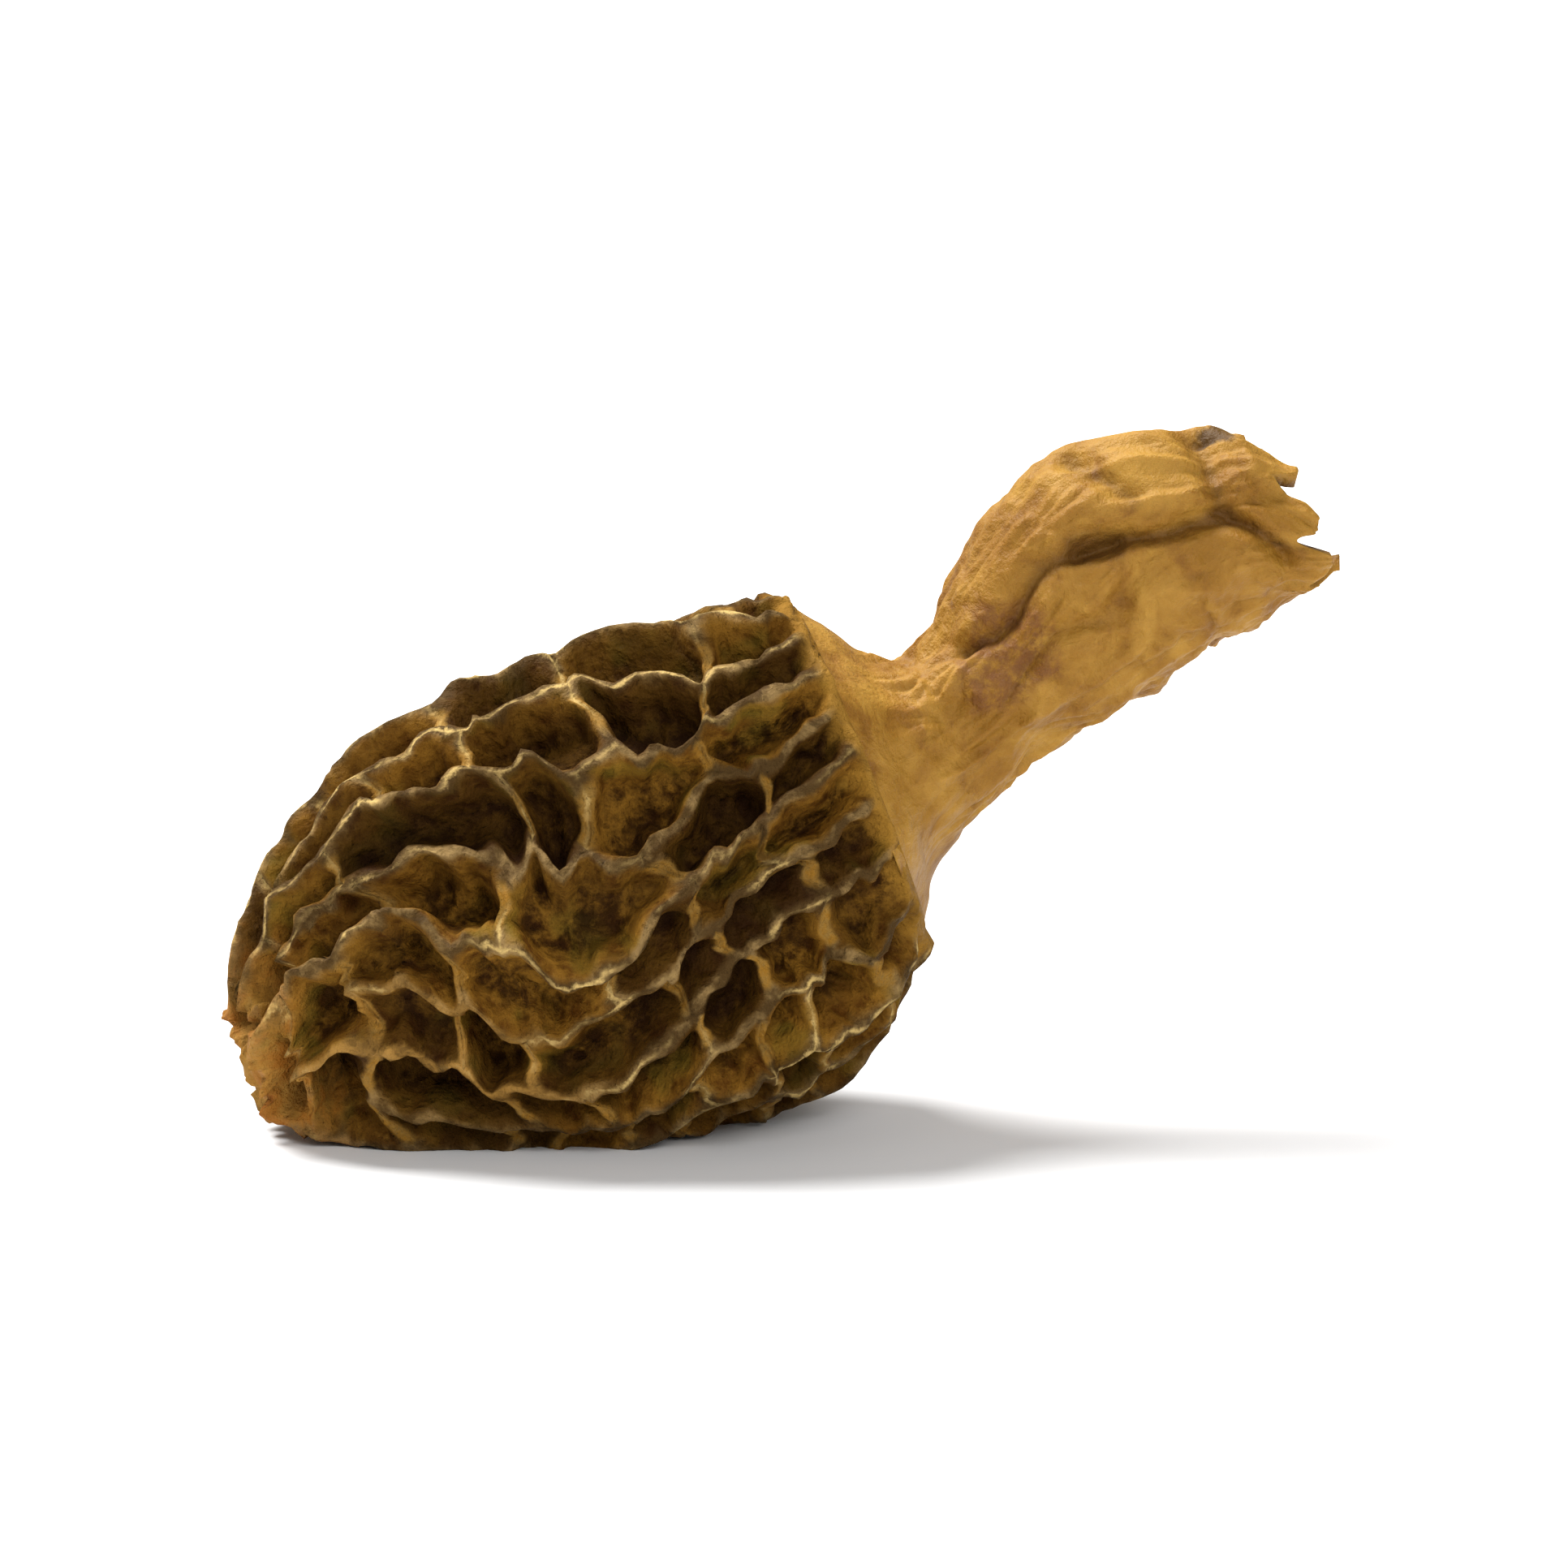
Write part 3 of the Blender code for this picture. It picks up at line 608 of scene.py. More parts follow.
class PitRings:
    """The outlines of all pits as one run of points, with each pit's first point, the point
    that follows each one round its pit, and the middle and size of its pit."""

    def __init__(self, pits):
        self.outline, self.owners = pit_outlines(pits)
        count = len(self.owners)
        self.first = np.flatnonzero(np.r_[True, self.owners[1:] != self.owners[:-1]])
        self.following = np.arange(1, count + 1)
        self.following[np.r_[self.first[1:], count] - 1] = self.first
        box = np.array(pits, float)
        middle = np.stack([box[:, 0] + box[:, 1], box[:, 2] + box[:, 3]], axis=-1) / 2
        half = np.stack([box[:, 1] - box[:, 0], box[:, 3] - box[:, 2]], axis=-1) / 2
        ends = middle[:, None] + half[:, None] * np.array([[-1, 0], [1, 0], [0, -1], [0, 1]])
        ends = cap_skin(ends[..., 0], ends[..., 1] / ROWS)
        size = np.linalg.norm(ends[:, [1, 3]] - ends[:, [0, 2]], axis=-1)
        width = size.min(axis=1) / FULL_DEPTH_WIDTH
        scale = np.minimum(1.0, NARROW_DEPTH + (1 - NARROW_DEPTH) * width)
        luck = np.random.default_rng(NET_SEED).uniform(size=(len(pits), 4))
        self.middle, self.half, self.size = (each[self.owners] for each in (middle, half, size))
        self.scale, self.luck = scale[self.owners], luck[self.owners]
        self.square = (self.outline - self.middle) / self.half
        self.crest, self.on_rib = crest_lift(*self.outline.T)

    def shared_crest(self):
        """Which outline points are kept for the crest, where each point is held once by
        all the pits that meet there, and the index of each point among those."""
        place = np.rint(self.outline * (RIB_STEPS, ROW_STEPS)).astype(int)
        place[:, 0] %= RIBS * RIB_STEPS
        _, once, shared = np.unique(place, axis=0, return_index=True, return_inverse=True)
        return once, shared.ravel()

    def ring(self, inset, depth, share):
        """The points and marks of one ring of every pit. The outline is drawn in and
        rounded, then sunk below the crest and made rough."""
        luck, size = self.luck, self.size
        wall = min(1.0, inset / PIT_PROFILE[-1][0])
        rounding = smooth_step((inset - 0.1) / 0.4)
        shape = self.square + (rounded(self.square) - self.square) * rounding
        narrowed = self.half * shape * np.maximum(0.3, 1 - 2 * inset / size) * share
        u, row = wriggled(*(self.middle + narrowed).T)
        across = shape[:, 1] * share - (luck[:, 1] - 0.5)
        ridge = np.exp(-((across / 0.16) ** 2)) * (size[:, 1] > RIDGED_LENGTH) * luck[:, 2] ** 2
        sunk = depth * self.scale * (0.8 + 0.35 * luck[:, 0])
        sunk *= RIM_DEPTH + (1 - RIM_DEPTH) * np.clip((ROWS - row) / 6, 0, 1)
        lift = self.crest * (1 - wall) - sunk
        lift += RIDGE_HEIGHT * ridge * smooth_step((depth - 0.5) / 0.8)
        flat = net_point(u, row, lift)
        height, fold = valleys(flat, WALL_WRINKLES)
        rough = relief(flat, CAP_RELIEF) + height * wall * (0.4 - fold)
        marks = dict(
            depth=np.full(len(u), wall * (1.0 - 0.25 * share)),
            rib=self.on_rib,
            along=row / ROWS,
            luck=luck[:, 3],
            ridge=ridge,
            warm=np.exp(-(((u - WARM_RIB) / 0.9) ** 2)) * smooth_step((27 - row) / 8),
            fold=fold_press(u * 360.0 / RIBS, row / ROWS),
        )
        return set_down(to_world(net_point(u, row, lift + rough))), marks

    def close_floors(self, skin, rings):
        """Each floor's middle closes its pit with a fan, drawn as quads over two steps."""
        place = np.concatenate(skin.points)[rings]
        total = np.bincount(self.owners)
        hub = np.stack([np.bincount(self.owners, place[:, k]) / total for k in range(3)], axis=-1)
        along = self.middle[self.first, 1] / ROWS
        hubs = skin.add(hub, depth=1.0, rib=0.0, along=along, luck=self.luck[self.first, 3])
        even = (np.arange(len(self.owners)) - self.first[self.owners]) % 2 == 0
        second = self.following[even]
        one, two, three = rings[even], rings[second], rings[self.following[second]]
        skin.faces.append(np.stack([hubs[self.owners[even]], three, two, one], axis=-1))


def cap_mesh():
    """The cap: each pit is a stack of rings drawn in from its crest, whose corners round
    off with depth, down to an uneven floor with a low ridge across it."""
    pits = PitRings(PITS)
    once, shared = pits.shared_crest()
    skin = Skin()
    crest, *lower = pit_levels()
    points, marks = pits.ring(*crest)
    skin.add(points[once], **{name: mark[once] for name, mark in marks.items()})
    rings = shared
    for level in lower:
        points, marks = pits.ring(*level)
        ids = skin.add(points, **marks)
        skin.join(rings[pits.following], rings, ids[pits.following], ids)
        rings = ids
    pits.close_floors(skin, rings)
    close_tip(skin, shared, pits.outline)
    close_base(skin, shared, pits.outline)
    return skin


def ring_at(shared, outline, row):
    """The crest's points along one row, in order round the cap."""
    here = outline[:, 1] == row
    places = np.rint(outline[here, 0] * RIB_STEPS).astype(int) % (RIBS * RIB_STEPS)
    order, index = np.unique(places, return_index=True)
    return shared[here][index]


def close_tip(skin, shared, outline):
    """The tip: rings drawn in to a point, slightly sunk and crumpled."""
    ring = ring_at(shared, outline, POLE_ROW)
    u = np.arange(len(ring)) / RIB_STEPS
    for v, lift in TIP_RINGS:
        flat = cap_point(u, np.full(len(u), v), np.full(len(u), lift))
        points = flat - relief(flat, TIP_RELIEF)[:, None] * (1.0, 0.0, 0.0)
        ids = skin.add(set_down(to_world(points)), depth=0.3, rib=0.4, along=v, luck=0.5)
        skin.join(np.roll(ring, -1), ring, np.roll(ids, -1), ids)
        ring = ids
    skin.cap_off(ring, -1, depth=0.3, rib=0.4, luck=0.5)


def close_base(skin, shared, outline):
    """The flat base: circles from the rim to its middle, where the stem's foot meets it."""
    ring = ring_at(shared, outline, ROWS)
    turn = 2 * np.pi * np.arange(len(ring)) / RIB_STEPS / RIBS
    base, centre = CAP_STATIONS[-1][:2]
    for radius in BASE_RINGS:
        flat = np.stack(
            [0 * turn + base, -radius * np.sin(turn), centre + radius * np.cos(turn)], axis=-1
        )
        ids = skin.add(set_down(to_world(flat)), depth=0.5, rib=0.2, along=1.0, luck=0.5)
        skin.join(ring, np.roll(ring, -1), ids, np.roll(ids, -1))
        ring = ids
    skin.cap_off(ring, 1, depth=0.5, along=1.0)


# The stem


def torn_edge(angle):
    """How far along the stem the torn edge lies at an angle from the top, in degrees: a
    smooth step from each known place to the next."""
    known = TORN_EDGE + ((TORN_EDGE[0][0] + 360.0, TORN_EDGE[0][1]),)
    angles, places = np.array(known).T
    angle = np.asarray(angle) % 360.0
    i = np.clip(np.searchsorted(angles, angle, side="right") - 1, 0, len(angles) - 2)
    x = smooth_step((angle - angles[i]) / (angles[i + 1] - angles[i]))
    return places[i] + (places[i + 1] - places[i]) * x


def stem_creases(t, angle, radius):
    """How deep the stem is creased at a point: each crease is a bell curve of the distance
    from its line, which wavers a little."""
    depth = np.zeros(np.broadcast(t, angle).shape)
    for (t0, angle0), (t1, angle1), deep, half in STEM_CREASES:
        run = np.array([(t1 - t0) * STEM_LENGTH, math.radians(angle1 - angle0) * STEM_RADIUS])
        x = (t - t0) * STEM_LENGTH
        y = np.radians(angle_apart(angle, angle0)) * radius + 0.4 * np.sin(1.1 * x + angle0)
        share = np.clip((x * run[0] + y * run[1]) / (run @ run), 0.0, 1.0)
        apart = np.hypot(x - share * run[0], y - share * run[1])
        depth += deep * np.exp(-((apart / half) ** 2))
    return depth


def stem_point(t, angle, inside=0.0):
    """A point of the stem at t along its centre line and an angle from the top towards
    -Y, pressed in by its creases, and by inside where it lies on the inner wall."""
    t, angle = np.broadcast_arrays(np.asarray(t, float), np.asarray(angle, float))
    x, z, half_height, half_width = np.moveaxis(curve_through(STEM_STATIONS, t, 1), -1, 0)
    step = 0.01
    ahead = curve_through(STEM_STATIONS, np.clip(t + step, 0, 1), 1)
    behind = curve_through(STEM_STATIONS, np.clip(t - step, 0, 1), 1)
    heading = np.arctan2(ahead[..., 1] - behind[..., 1], ahead[..., 0] - behind[..., 0])
    turned = smooth_step(t / TURNED_SHARE)
    heading = math.radians(CAP_PITCH) * (1 - turned) + heading * turned
    turn = np.radians(angle)
    flare = np.clip(1 - t / FLARED_SHARE, 0.0, 1.0)
    webs = 1 + 0.06 * flare * np.cos(6 * turn + 0.8) - 0.01 * flare
    press = stem_creases(t, angle, half_height) * (1 - flare) + inside
    high = (half_height * webs - press) * np.cos(turn)
    wide = (half_width * webs - press) * np.sin(turn)
    return np.stack([x - high * np.sin(heading), -wide, z + high * np.cos(heading)], axis=-1)


def on_tube(t, angle, length, radius):
    """Places on a straight tube, so that relief runs round the stem without a seam."""
    turn = np.radians(angle)
    along = length * t + 0.0 * turn
    return np.stack([along, radius * np.cos(turn), radius * np.sin(turn)], axis=-1)


def stem_wrinkles(t, angle, strength):
    """Relief of the stem in millimetres: long sharp folds and wrinkles that follow it, with
    dents and grain, at a given strength and smooth at the foot, and a crumpled mouth."""
    short, whole = on_tube(t, angle, *SHORT_TUBE), on_tube(t, angle, *WHOLE_TUBE)
    deep, fold = valleys(short, FOLDS)
    high, wrinkle = valleys(short, WRINKLES)
    low, fine = valleys(short, FINE_WRINKLES)
    rough = deep * (fold**0.8 - 0.45) + high * (0.5 - wrinkle) + low * (fine - 0.45)
    rough += relief(whole, DENTS)
    height, mouth = valleys(whole, MOUTH_WRINKLES)
    mouth = height * (0.5 - mouth) * smooth_step((t - 0.6) / 0.3)
    return rough * smooth_step(t / SMOOTH_SHARE) * strength + mouth


def stem_mesh():
    """The stem: rings up the outside, over the torn edge and back down the inside."""
    angle = np.linspace(0, 360, STEM_SIDES, endpoint=False)
    ragged = relief(on_tube(0.0, angle, 0.0, RAGGED_RADIUS), RAGGED_EDGE)
    edge = np.minimum(torn_edge(angle) + ragged, 1.0)
    base = CAP_STATIONS[-1]
    origin = to_world([base[0] + 0.02, 0.0, base[1]])
    outer_t = edge * (np.linspace(0, 1, STEM_RINGS) ** 1.15)[:, None]
    inner_share = np.linspace(1, 0, STEM_INNER_RINGS)[:, None]
    inner_t = edge * (INNER_FROM + (1 - INNER_FROM) * inner_share)
    wall = STEM_WALL + (LIP_WALL - STEM_WALL) * inner_share**3
    wide = np.broadcast_to(angle, outer_t.shape)
    outer = stem_point(outer_t, wide, -stem_wrinkles(outer_t, wide, 1.0))
    tucked = FOOT_TUCK * np.clip(1 - outer_t / TUCKED_SHARE, 0, 1)
    pitch = math.radians(CAP_PITCH)
    outer -= tucked[..., None] * np.array([math.cos(pitch), 0.0, math.sin(pitch)])
    narrow = np.broadcast_to(angle, inner_t.shape)
    inner = stem_point(inner_t, narrow, wall - stem_wrinkles(inner_t, narrow, INNER_RELIEF))

    skin = Skin()
    creased = stem_creases(outer_t, wide, STEM_RADIUS)
    lip = smooth_step((outer_t / edge - 0.93) / 0.07)
    outer_marks = dict(along=outer_t, around=wide / 360, crease=creased, inner=0.0, lip=lip)
    inner_marks = dict(along=inner_t, around=narrow / 360, inner=1.0, lip=0.0)
    rings = []
    for points, marks in ((outer, outer_marks), (inner, inner_marks)):
        marks = {k: np.broadcast_to(v, points.shape[:2]).ravel() for k, v in marks.items()}
        rings.append(skin.add(set_down(points + origin), **marks).reshape(-1, STEM_SIDES))
    rings = np.concatenate(rings)
    following = np.roll(rings, -1, axis=1)
    skin.join(
        rings[:-1].ravel(), following[:-1].ravel(), rings[1:].ravel(), following[1:].ravel()
    )
    skin.cap_off(rings[0], -1, along=0.0)
    skin.cap_off(rings[-1], 1, along=INNER_FROM, inner=1.0)
    return skin


# Materials


class Tone:
    """A socket of a material, so that shader maths is written as sums of sockets."""

    def __init__(self, paint, socket):
        self.paint, self.socket = paint, socket

    def maths(self, kind, *others, clamp=False):
        values = dict(enumerate((self, *others)))
        return self.paint.node("ShaderNodeMath", {"operation": kind, "use_clamp": clamp}, values)

    def __add__(self, other):
        return self.maths("ADD", other)

    def __sub__(self, other):
        return self.maths("SUBTRACT", other)

    def __mul__(self, other):
        return self.maths("MULTIPLY", other)

    def __rsub__(self, other):
        return self.maths("MULTIPLY_ADD", -1.0, other)

    def clipped(self):
        return self.maths("ADD", 0.0, clamp=True)

    def between(self, low, high):
        """0 below low, 1 above high and a smooth rise between; low may be the greater."""
        settings = {"interpolation_type": "SMOOTHSTEP"}
        rising = low < high
        ends = (low, high) if rising else (high, low)
        values = {"Value": self, "From Min": ends[0], "From Max": ends[1]}
        value = self.paint.node("ShaderNodeMapRange", settings, values)
        return value if rising else 1.0 - value

    def mixed(self, other, share):
        """This colour turned to another one by share."""
        return self.paint.mix(self, other, share)


class Paint:
    """A material on its Principled shader, with its nodes made one way."""

    def __init__(self, name):
        self.material = bpy.data.materials.new(name)
        self.material.use_nodes = True
        self.tree = self.material.node_tree
        self.shader = self.tree.nodes["Principled BSDF"]
        self.place = self.node("ShaderNodeTexCoord", {}, {}, output="Object")

    def node(self, kind, settings, values, output=0):
        """Makes a node with its settings, and its sockets' values or links."""
        made = self.tree.nodes.new(kind)
        for name, value in settings.items():
            setattr(made, name, value)
        for name, value in values.items():
            self.fill(made.inputs[name], value)
        return Tone(self, made.outputs[output])

    def fill(self, socket, value):
        if isinstance(value, Tone):
            self.tree.links.new(value.socket, socket)
        else:
            socket.default_value = value

    def set(self, **values):
        """Sets the shader's sockets, named with spaces as underscores."""
        for name, value in values.items():
            self.fill(self.shader.inputs[name.replace("_", " ")], value)

    def mark(self, name):
        return self.node("ShaderNodeAttribute", {"attribute_name": name}, {}, output="Fac")

    def noise(self, size, detail=4.0, rough=0.55, twist=0.0):
        """Noise from 0 to 1 whose lumps are about size millimetres."""
        values = {
            "Vector": self.place,
            "Scale": 1000.0 / size,
            "Detail": detail,
            "Roughness": rough,
            "Distortion": twist,
        }
        return self.node("ShaderNodeTexNoise", {}, values)

    def bent(self, amount, size):
        """The place, shifted by noise by up to about amount millimetres."""
        values = {"Vector": self.place, "Scale": 1000.0 / size, "Detail": 2.0}
        shift = self.node("ShaderNodeTexNoise", {}, values, output="Color")
        values = {0: shift, 1: (amount * MM,) * 3, 2: self.place}
        return self.node("ShaderNodeVectorMath", {"operation": "MULTIPLY_ADD"}, values)

    def cells(self, size, place):
        """Distance from the edges of a pattern of cells about size millimetres across."""
        values = {"Vector": place, "Scale": 1000.0 / size}
        return self.node("ShaderNodeTexVoronoi", {"feature": "DISTANCE_TO_EDGE"}, values)

    def bumps(self, *layers):
        """Stacks layers of relief (height, depth in millimetres) into a normal."""
        normal = None
        for height, depth in layers:
            values = {"Height": height, "Distance": depth * MM, "Strength": 1.0}
            if normal is not None:
                values["Normal"] = normal
            normal = self.node("ShaderNodeBump", {}, values)
        return normal

    def mix(self, first, second, share):
        """One colour turned to another by share; each is a socket or red, green, blue."""
        first, second = (c if isinstance(c, Tone) else (*c, 1.0) for c in (first, second))
        values = {"Factor": share, 6: first, 7: second}
        return self.node("ShaderNodeMix", {"data_type": "RGBA"}, values, output=2)


def cap_material(look):
    """Dried cap: dark ribs, pale thin walls, amber pits with painted shade that deepens with depth
    and in the folds, painted highlights along the crests, and a tan tip.
    """
    paint = Paint("dried cap")
    depth, rib, along = paint.mark("depth"), paint.mark("rib"), paint.mark("along")
    luck, ridge = paint.mark("luck"), paint.mark("ridge")
    warm, fold = paint.mark("warm"), paint.mark("fold")
    patches = paint.noise(7.0, 3.0, 0.5, twist=0.6)
    mottle = paint.noise(1.6, 5.0, 0.62, twist=0.4)
    speck = paint.noise(0.45, 4.0, 0.65)
    grain = paint.noise(0.16, 3.0, 0.6)
    veins = paint.cells(1.4, paint.bent(0.9, 1.3)).between(0.3, 0.0)

    glow = (mottle * 0.7 + speck * 0.4).between(0.44, 0.68)
    pit = paint.mix(look.pit_colour, look.pit_glow, glow * 0.8)
    pit = pit.mixed(look.olive_colour, paint.noise(3.1, 2.0).between(0.52, 0.66) * 0.6)
    pit = pit.mixed(look.pit_glow, veins * 0.4)
    # Painted shade: whole pits, picked by luck and the large patches, are darkened towards near
    # black.
    pit = pit.mixed(look.painted_shade_colour, (luck + patches * 0.9).between(1.1, 0.55) * 0.7)
    # Painted shade deepening down each pit, weaker where the lighter patches are.
    pit = pit.mixed(look.painted_shade_colour, depth.between(0.3, 0.8) * (0.85 - glow * 0.7))
    # Painted shade along the long folds of the dried cap.
    pit = pit.mixed(look.painted_shade_colour, fold.between(0.3, 1.1) * 0.6)
    wall = paint.mix(look.wall_colour, look.pit_glow, speck.between(0.35, 0.7))
    dark = paint.mix(look.rib_colour, look.grey_colour, mottle.between(0.42, 0.7))
    crest = wall.mixed(dark, (rib + (patches - 0.5) * 1.2).between(0.2, 0.7))
    crest = crest.mixed(look.tip_colour, warm * (patches * 0.5 + mottle).between(0.5, 0.8) * 0.8)
    # Painted highlight: pale colour along the tops of the crests, where light catches them, broken
    # up by the noise in lit.
    edge = (1.0 - depth * 3.6 + (speck - 0.5) * 1.8).between(0.5, 1.1)
    lit = paint.noise(2.7, 3.0, 0.6) + (patches - 0.5) * 0.5 + (paint.noise(11.0, 2.0) - 0.5) * 0.9
    lit = lit.between(0.44, 0.7)
    crest = crest.mixed(look.painted_highlight_colour, edge * lit * 0.95)
    top = (1.0 - depth * 1.9 + (speck - 0.5) * 0.3 + ridge * 0.4).between(0.42, 0.8)
    colour = pit.mixed(crest, top)
    tan = paint.mix(look.tip_colour, look.tip_deep, mottle.between(0.4, 0.7))
    tip = (1.0 - along * 4.2 + (patches - 0.5) * 1.6 + (mottle - 0.5)).between(0.1, 0.75)
    colour = colour.mixed(tan, tip * (1.0 - depth * 0.7))
    rim = (along + (mottle - 0.5) * 0.06 + (patches - 0.5) * 0.08).between(0.965, 1.0)
    colour = colour.mixed(look.rim_colour, rim * 0.9)
    paint.set(
        Base_Color=colour,
        Roughness=(0.84 - speck * 0.34 + depth * 0.08).clipped(),
        Normal=paint.bumps((mottle, 0.4), (veins, 0.08), (speck, 0.18), (grain, 0.07)),
        Specular_IOR_Level=0.05,
    )
    return paint.material


def stem_material(look):
    """Dried stem: ochre flesh, brighter in patches and at the torn lip, with stains, and with
    painted shade in its creases, inside its hollow and in a hole near its torn end.
    """
    paint = Paint("dried stem")
    along, around, crease = paint.mark("along"), paint.mark("around"), paint.mark("crease")
    inner, lip = paint.mark("inner"), paint.mark("lip")
    patches = paint.noise(5.5, 3.0, 0.55, twist=0.8)
    mottle = paint.noise(1.9, 5.0, 0.6, twist=0.5)
    speck = paint.noise(0.5, 4.0, 0.65)
    grain = paint.noise(0.2, 3.0, 0.6)

    high = (patches * 0.6 + mottle * 0.6).between(0.5, 0.8)
    flesh = paint.mix(look.flesh_colour, look.bright_colour, high)
    flesh = flesh.mixed(look.stain_colour, mottle.between(0.48, 0.3) * 0.7)

    def spot(place, angle, length, width):
        """A ragged patch about a place along the stem and an angle round it."""
        x, y = (along - place) * (1 / length), (around - angle / 360) * (360 / width)
        return (x * x + y * y + (mottle - 0.5) * 1.6 + (speck - 0.5) * 0.8).between(1.1, 0.5)

    rust = spot(0.34, 66.0, 0.12, 34.0) * speck.between(0.3, 0.6) * 0.75
    flesh = flesh.mixed(look.rust_colour, rust)
    flesh = flesh.mixed(look.bright_colour, spot(0.7, 38.0, 0.06, 24.0) * 0.7)
    # Painted shade: a dark patch near the torn end stands in for the shadow in a hole under the
    # lip.
    flesh = flesh.mixed(look.painted_hole_shade_colour, spot(0.81, 9.0, 0.05, 12.0) * 0.85)
    # Painted shade in the creases.
    creased = (crease * 0.9 + (speck - 0.5) * 0.4).between(0.2, 0.9)
    flesh = flesh.mixed(look.painted_crease_shade_colour, creased * 0.75)
    # Painted shade on the inner wall of the hollow.
    flesh = flesh.mixed(look.painted_crease_shade_colour, inner * 0.55)
    flesh = flesh.mixed(look.bright_colour, lip * 0.5)
    paint.set(
        Base_Color=flesh,
        Roughness=(0.74 - speck * 0.3).clipped(),
        Normal=paint.bumps((mottle, 0.3), (speck, 0.14), (grain, 0.05)),
        Specular_IOR_Level=0.2,
        Subsurface_Weight=0.1,
        Subsurface_Radius=(0.9, 0.45, 0.15),
        Subsurface_Scale=0.0012,
    )
    return paint.material


# Settings, operators and panel


def colour_of(name, text, value):
    """A colour setting with its name, its tooltip and its value."""
    return FloatVectorProperty(
        name=name, description=text, subtype="COLOR", size=3, min=0.0, max=1.0, default=value
    )


def number_of(name, text, value, **limits):
    """A number setting, in the same way."""
    return FloatProperty(name=name, description=text, default=value, **limits)


class CapLook(bpy.types.PropertyGroup):
    """Colours of the cap, and of its painted shade and painted highlight."""

    rib_colour: colour_of("Ribs", "Colour of the long ribs", (0.06, 0.032, 0.009))
    grey_colour: colour_of("Rib bloom", "Bloom on the ribs", (0.24, 0.15, 0.055))
    wall_colour: colour_of("Walls", "Colour of the thin cross walls", (0.23, 0.13, 0.03))
    # Painted highlight on the upper edges of the net.
    painted_highlight_colour: colour_of("Edges", "Pale upper edges of the net", (0.54, 0.37, 0.13))
    pit_colour: colour_of("Pits", "Colour of the pits", (0.07, 0.024, 0.002))
    pit_glow: colour_of("Pit light", "Brighter patches in the pits", (0.24, 0.113, 0.013))
    rim_colour: colour_of("Rim", "Flesh of the stem that covers the rim", (0.27, 0.135, 0.018))
    # Painted shade: the near-black colour painted into deep pits, folds and some whole pits.
    painted_shade_colour: colour_of("Painted shade", "Colour of the deepest places", (0.011, 0.0032, 0.0004))
    olive_colour: colour_of("Olive", "Olive patches", (0.125, 0.09, 0.01))
    tip_colour: colour_of("Tip", "Colour of the tip", (0.34, 0.175, 0.035))
    tip_deep: colour_of("Tip stain", "Orange stain of the tip", (0.25, 0.085, 0.01))


class StemLook(bpy.types.PropertyGroup):
    """Colours of the stem, and of its painted shade."""

    flesh_colour: colour_of("Flesh", "Main colour of the stem", (0.235, 0.106, 0.009))
    bright_colour: colour_of("Light flesh", "Colour of its high places", (0.37, 0.195, 0.028))
    stain_colour: colour_of("Stain", "Darker patches", (0.165, 0.066, 0.006))
    rust_colour: colour_of("Rust", "Reddish patch on its near side", (0.14, 0.05, 0.013))
    # Painted shade of a hole under the lip, near the torn end.
    painted_hole_shade_colour: colour_of("Painted hole shade", "Dark scrap on top of it", (0.03, 0.011, 0.002))
    # Painted shade for the creases and for the inside of the hollow.
    painted_crease_shade_colour: colour_of("Creases", "Colour in the creases", (0.07, 0.026, 0.004))


class StageLook(bpy.types.PropertyGroup):
    """The floor, the lights and the camera."""

    floor_colour: colour_of("Floor", "Colour of the floor", (0.86, 0.86, 0.86))
    distance: number_of("Camera distance", "From the morel", 1.17, unit="LENGTH", min=0.2)
    height: number_of(
        "Camera height", "Angle above the floor", math.radians(12.0), subtype="ANGLE"
    )
    lens: number_of("Lens", "In millimetres", 640.0, min=20.0)
    key_power: number_of("Main light", "Power of the main light", 17.0, subtype="POWER")
    front_share: number_of(
        "Front light", "Its power as a share of the main light's", 0.28, min=0.0, max=1.0
    )
    surround: number_of("Surround", "Strength of the even light all round", 0.32, min=0.0)


class MOREL_OT_cap(bpy.types.Operator):
    """Build the cap with its net of ridges and pits"""

    bl_idname = "morel.cap"
    bl_label = "Cap"

    def execute(self, context):
        cap_mesh().object("netted_cap", "cap", cap_material(context.scene.morel_cap))
        return {"FINISHED"}


class MOREL_OT_stem(bpy.types.Operator):
    """Build the hollow stem with its torn end"""

    bl_idname = "morel.stem"
    bl_label = "Stem"

    def execute(self, context):
        stem_mesh().object("torn_stem", "stem", stem_material(context.scene.morel_stem))
        return {"FINISHED"}


class MOREL_OT_stage(bpy.types.Operator):
    """Build the floor, the lights and the camera"""

    bl_idname = "morel.stage"
    bl_label = "Stage"

    def execute(self, context):
        look = context.scene.morel_stage
        build_floor(look)
        build_lights(look)
        build_camera(look)
        return {"FINISHED"}


def build_floor(look):
    """A wide flat floor, which stands in for the studio table."""
    mesh = bpy.data.meshes.new("floor")
    side = FLOOR_REACH
    corners = [(-side, -side, 0), (side, -side, 0), (side, side, 0), (-side, side, 0)]
    mesh.from_pydata(corners, [], [(0, 1, 2, 3)])
    paint = Paint("floor")
    paint.set(Base_Color=(*look.floor_colour, 1.0), Roughness=0.6, Specular_IOR_Level=0.2)
    mesh.materials.append(paint.material)
    linked("floor", mesh)


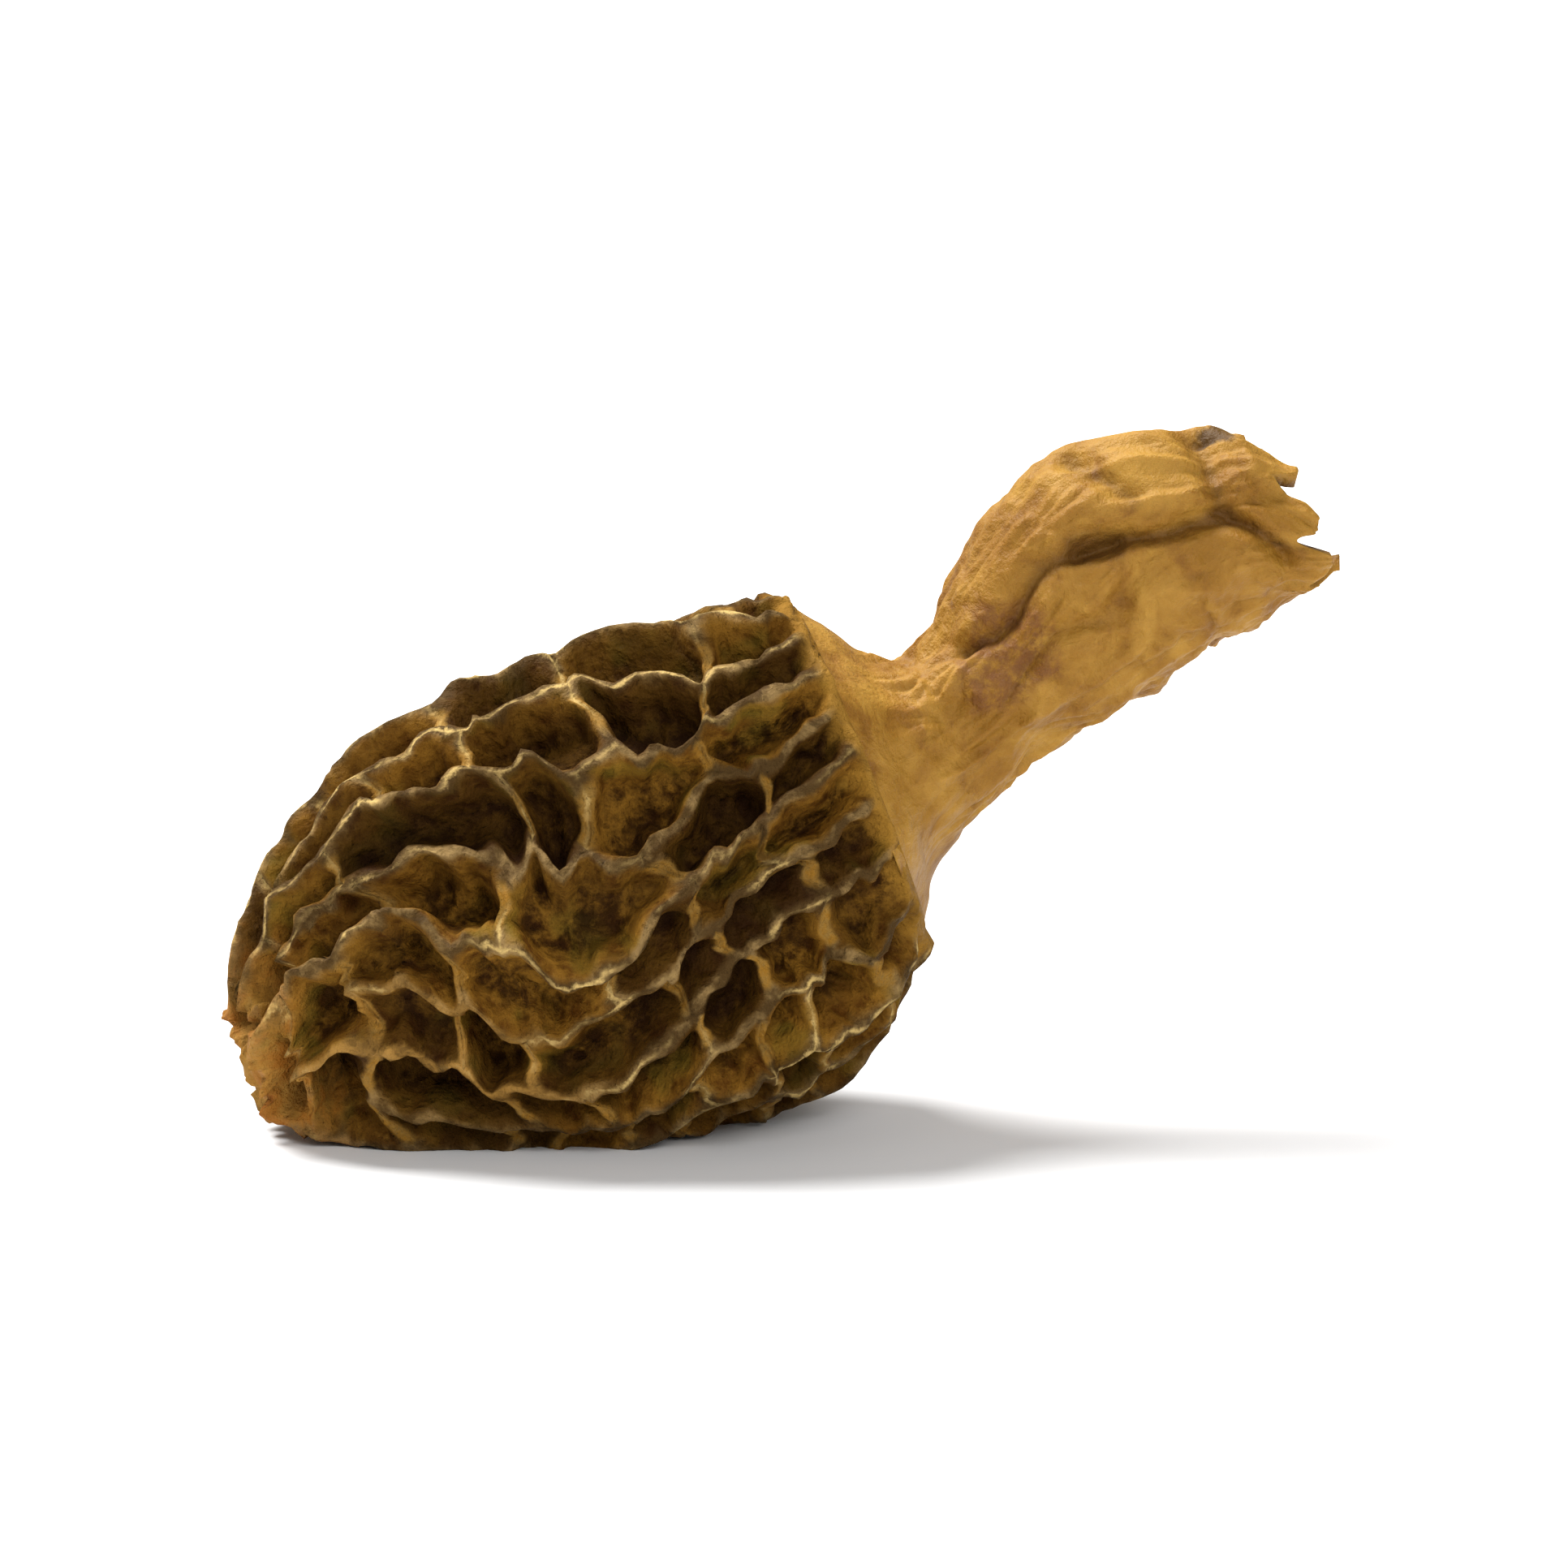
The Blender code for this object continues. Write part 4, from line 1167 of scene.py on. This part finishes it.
def build_lights(look):
    """A broad light from above and behind on the left, a weak one in front, and a bright
    even surround."""
    world = bpy.data.worlds.new("studio")
    bpy.context.scene.world = world
    bpy.context.scene.view_settings.view_transform = "Standard"
    world.use_nodes = True
    surround = world.node_tree.nodes["Background"]
    surround.inputs["Color"].default_value = (1.0, 1.0, 1.0, 1.0)
    surround.inputs["Strength"].default_value = look.surround
    for name, place, size, power in (
        ("main", (-0.35, 0.25, 0.75), 0.55, look.key_power),
        ("front", (0.25, -0.7, 0.5), 0.5, look.key_power * look.front_share),
    ):
        light = bpy.data.lights.new(name, "AREA")
        light.shape = "DISK"
        light.size = size
        light.energy = power
        lamp = linked(name, light)
        lamp.location = place
        aim(lamp, (0.0, 0.0, 0.01))
        lamp.visible_camera = False


def aim(item, target):
    """Turns a light or the camera, which look along their own -Z, towards the target."""
    back = np.array(item.location) - np.array(target)
    length = float(np.linalg.norm(back))
    item.rotation_euler = (
        math.acos(back[2] / length),
        0.0,
        math.atan2(back[1], back[0]) + math.pi / 2,
    )


def build_camera(look):
    """The camera looks along +Y from a little above the floor, as the photograph does."""
    camera = bpy.data.cameras.new("camera")
    camera.lens = look.lens
    camera.clip_start = 0.01
    camera.clip_end = 20.0
    item = linked("camera", camera)
    low, high = np.array(FRAME_BOX)
    target = (low + high) / 2
    away = (0.0, -math.cos(look.height), math.sin(look.height))
    item.location = target + np.array(away) * look.distance
    aim(item, target)
    bpy.context.scene.camera = item


class MOREL_PT_panel(bpy.types.Panel):
    """Lists the pieces and their settings"""

    bl_idname = "MOREL_PT_panel"
    bl_label = "Dried Morel"
    bl_space_type = "VIEW_3D"
    bl_region_type = "UI"
    bl_category = "Morel"

    def draw(self, context):
        for kind, look in (
            (MOREL_OT_cap, context.scene.morel_cap),
            (MOREL_OT_stem, context.scene.morel_stem),
            (MOREL_OT_stage, context.scene.morel_stage),
        ):
            box = self.layout.box()
            box.operator(kind.bl_idname)
            for name in look.__annotations__:
                box.prop(look, name)


LOOKS = {"morel_cap": CapLook, "morel_stem": StemLook, "morel_stage": StageLook}
CLASSES = (*LOOKS.values(), MOREL_OT_cap, MOREL_OT_stem, MOREL_OT_stage, MOREL_PT_panel)


def register():
    for kind in CLASSES:
        bpy.utils.register_class(kind)
    for name, look in LOOKS.items():
        setattr(bpy.types.Scene, name, PointerProperty(type=look))


def unregister():
    for name in LOOKS:
        delattr(bpy.types.Scene, name)
    for kind in reversed(CLASSES):
        bpy.utils.unregister_class(kind)


def main():
    register()
    bpy.ops.morel.cap()
    bpy.ops.morel.stem()
    bpy.ops.morel.stage()


if __name__ == "__main__":
    main()
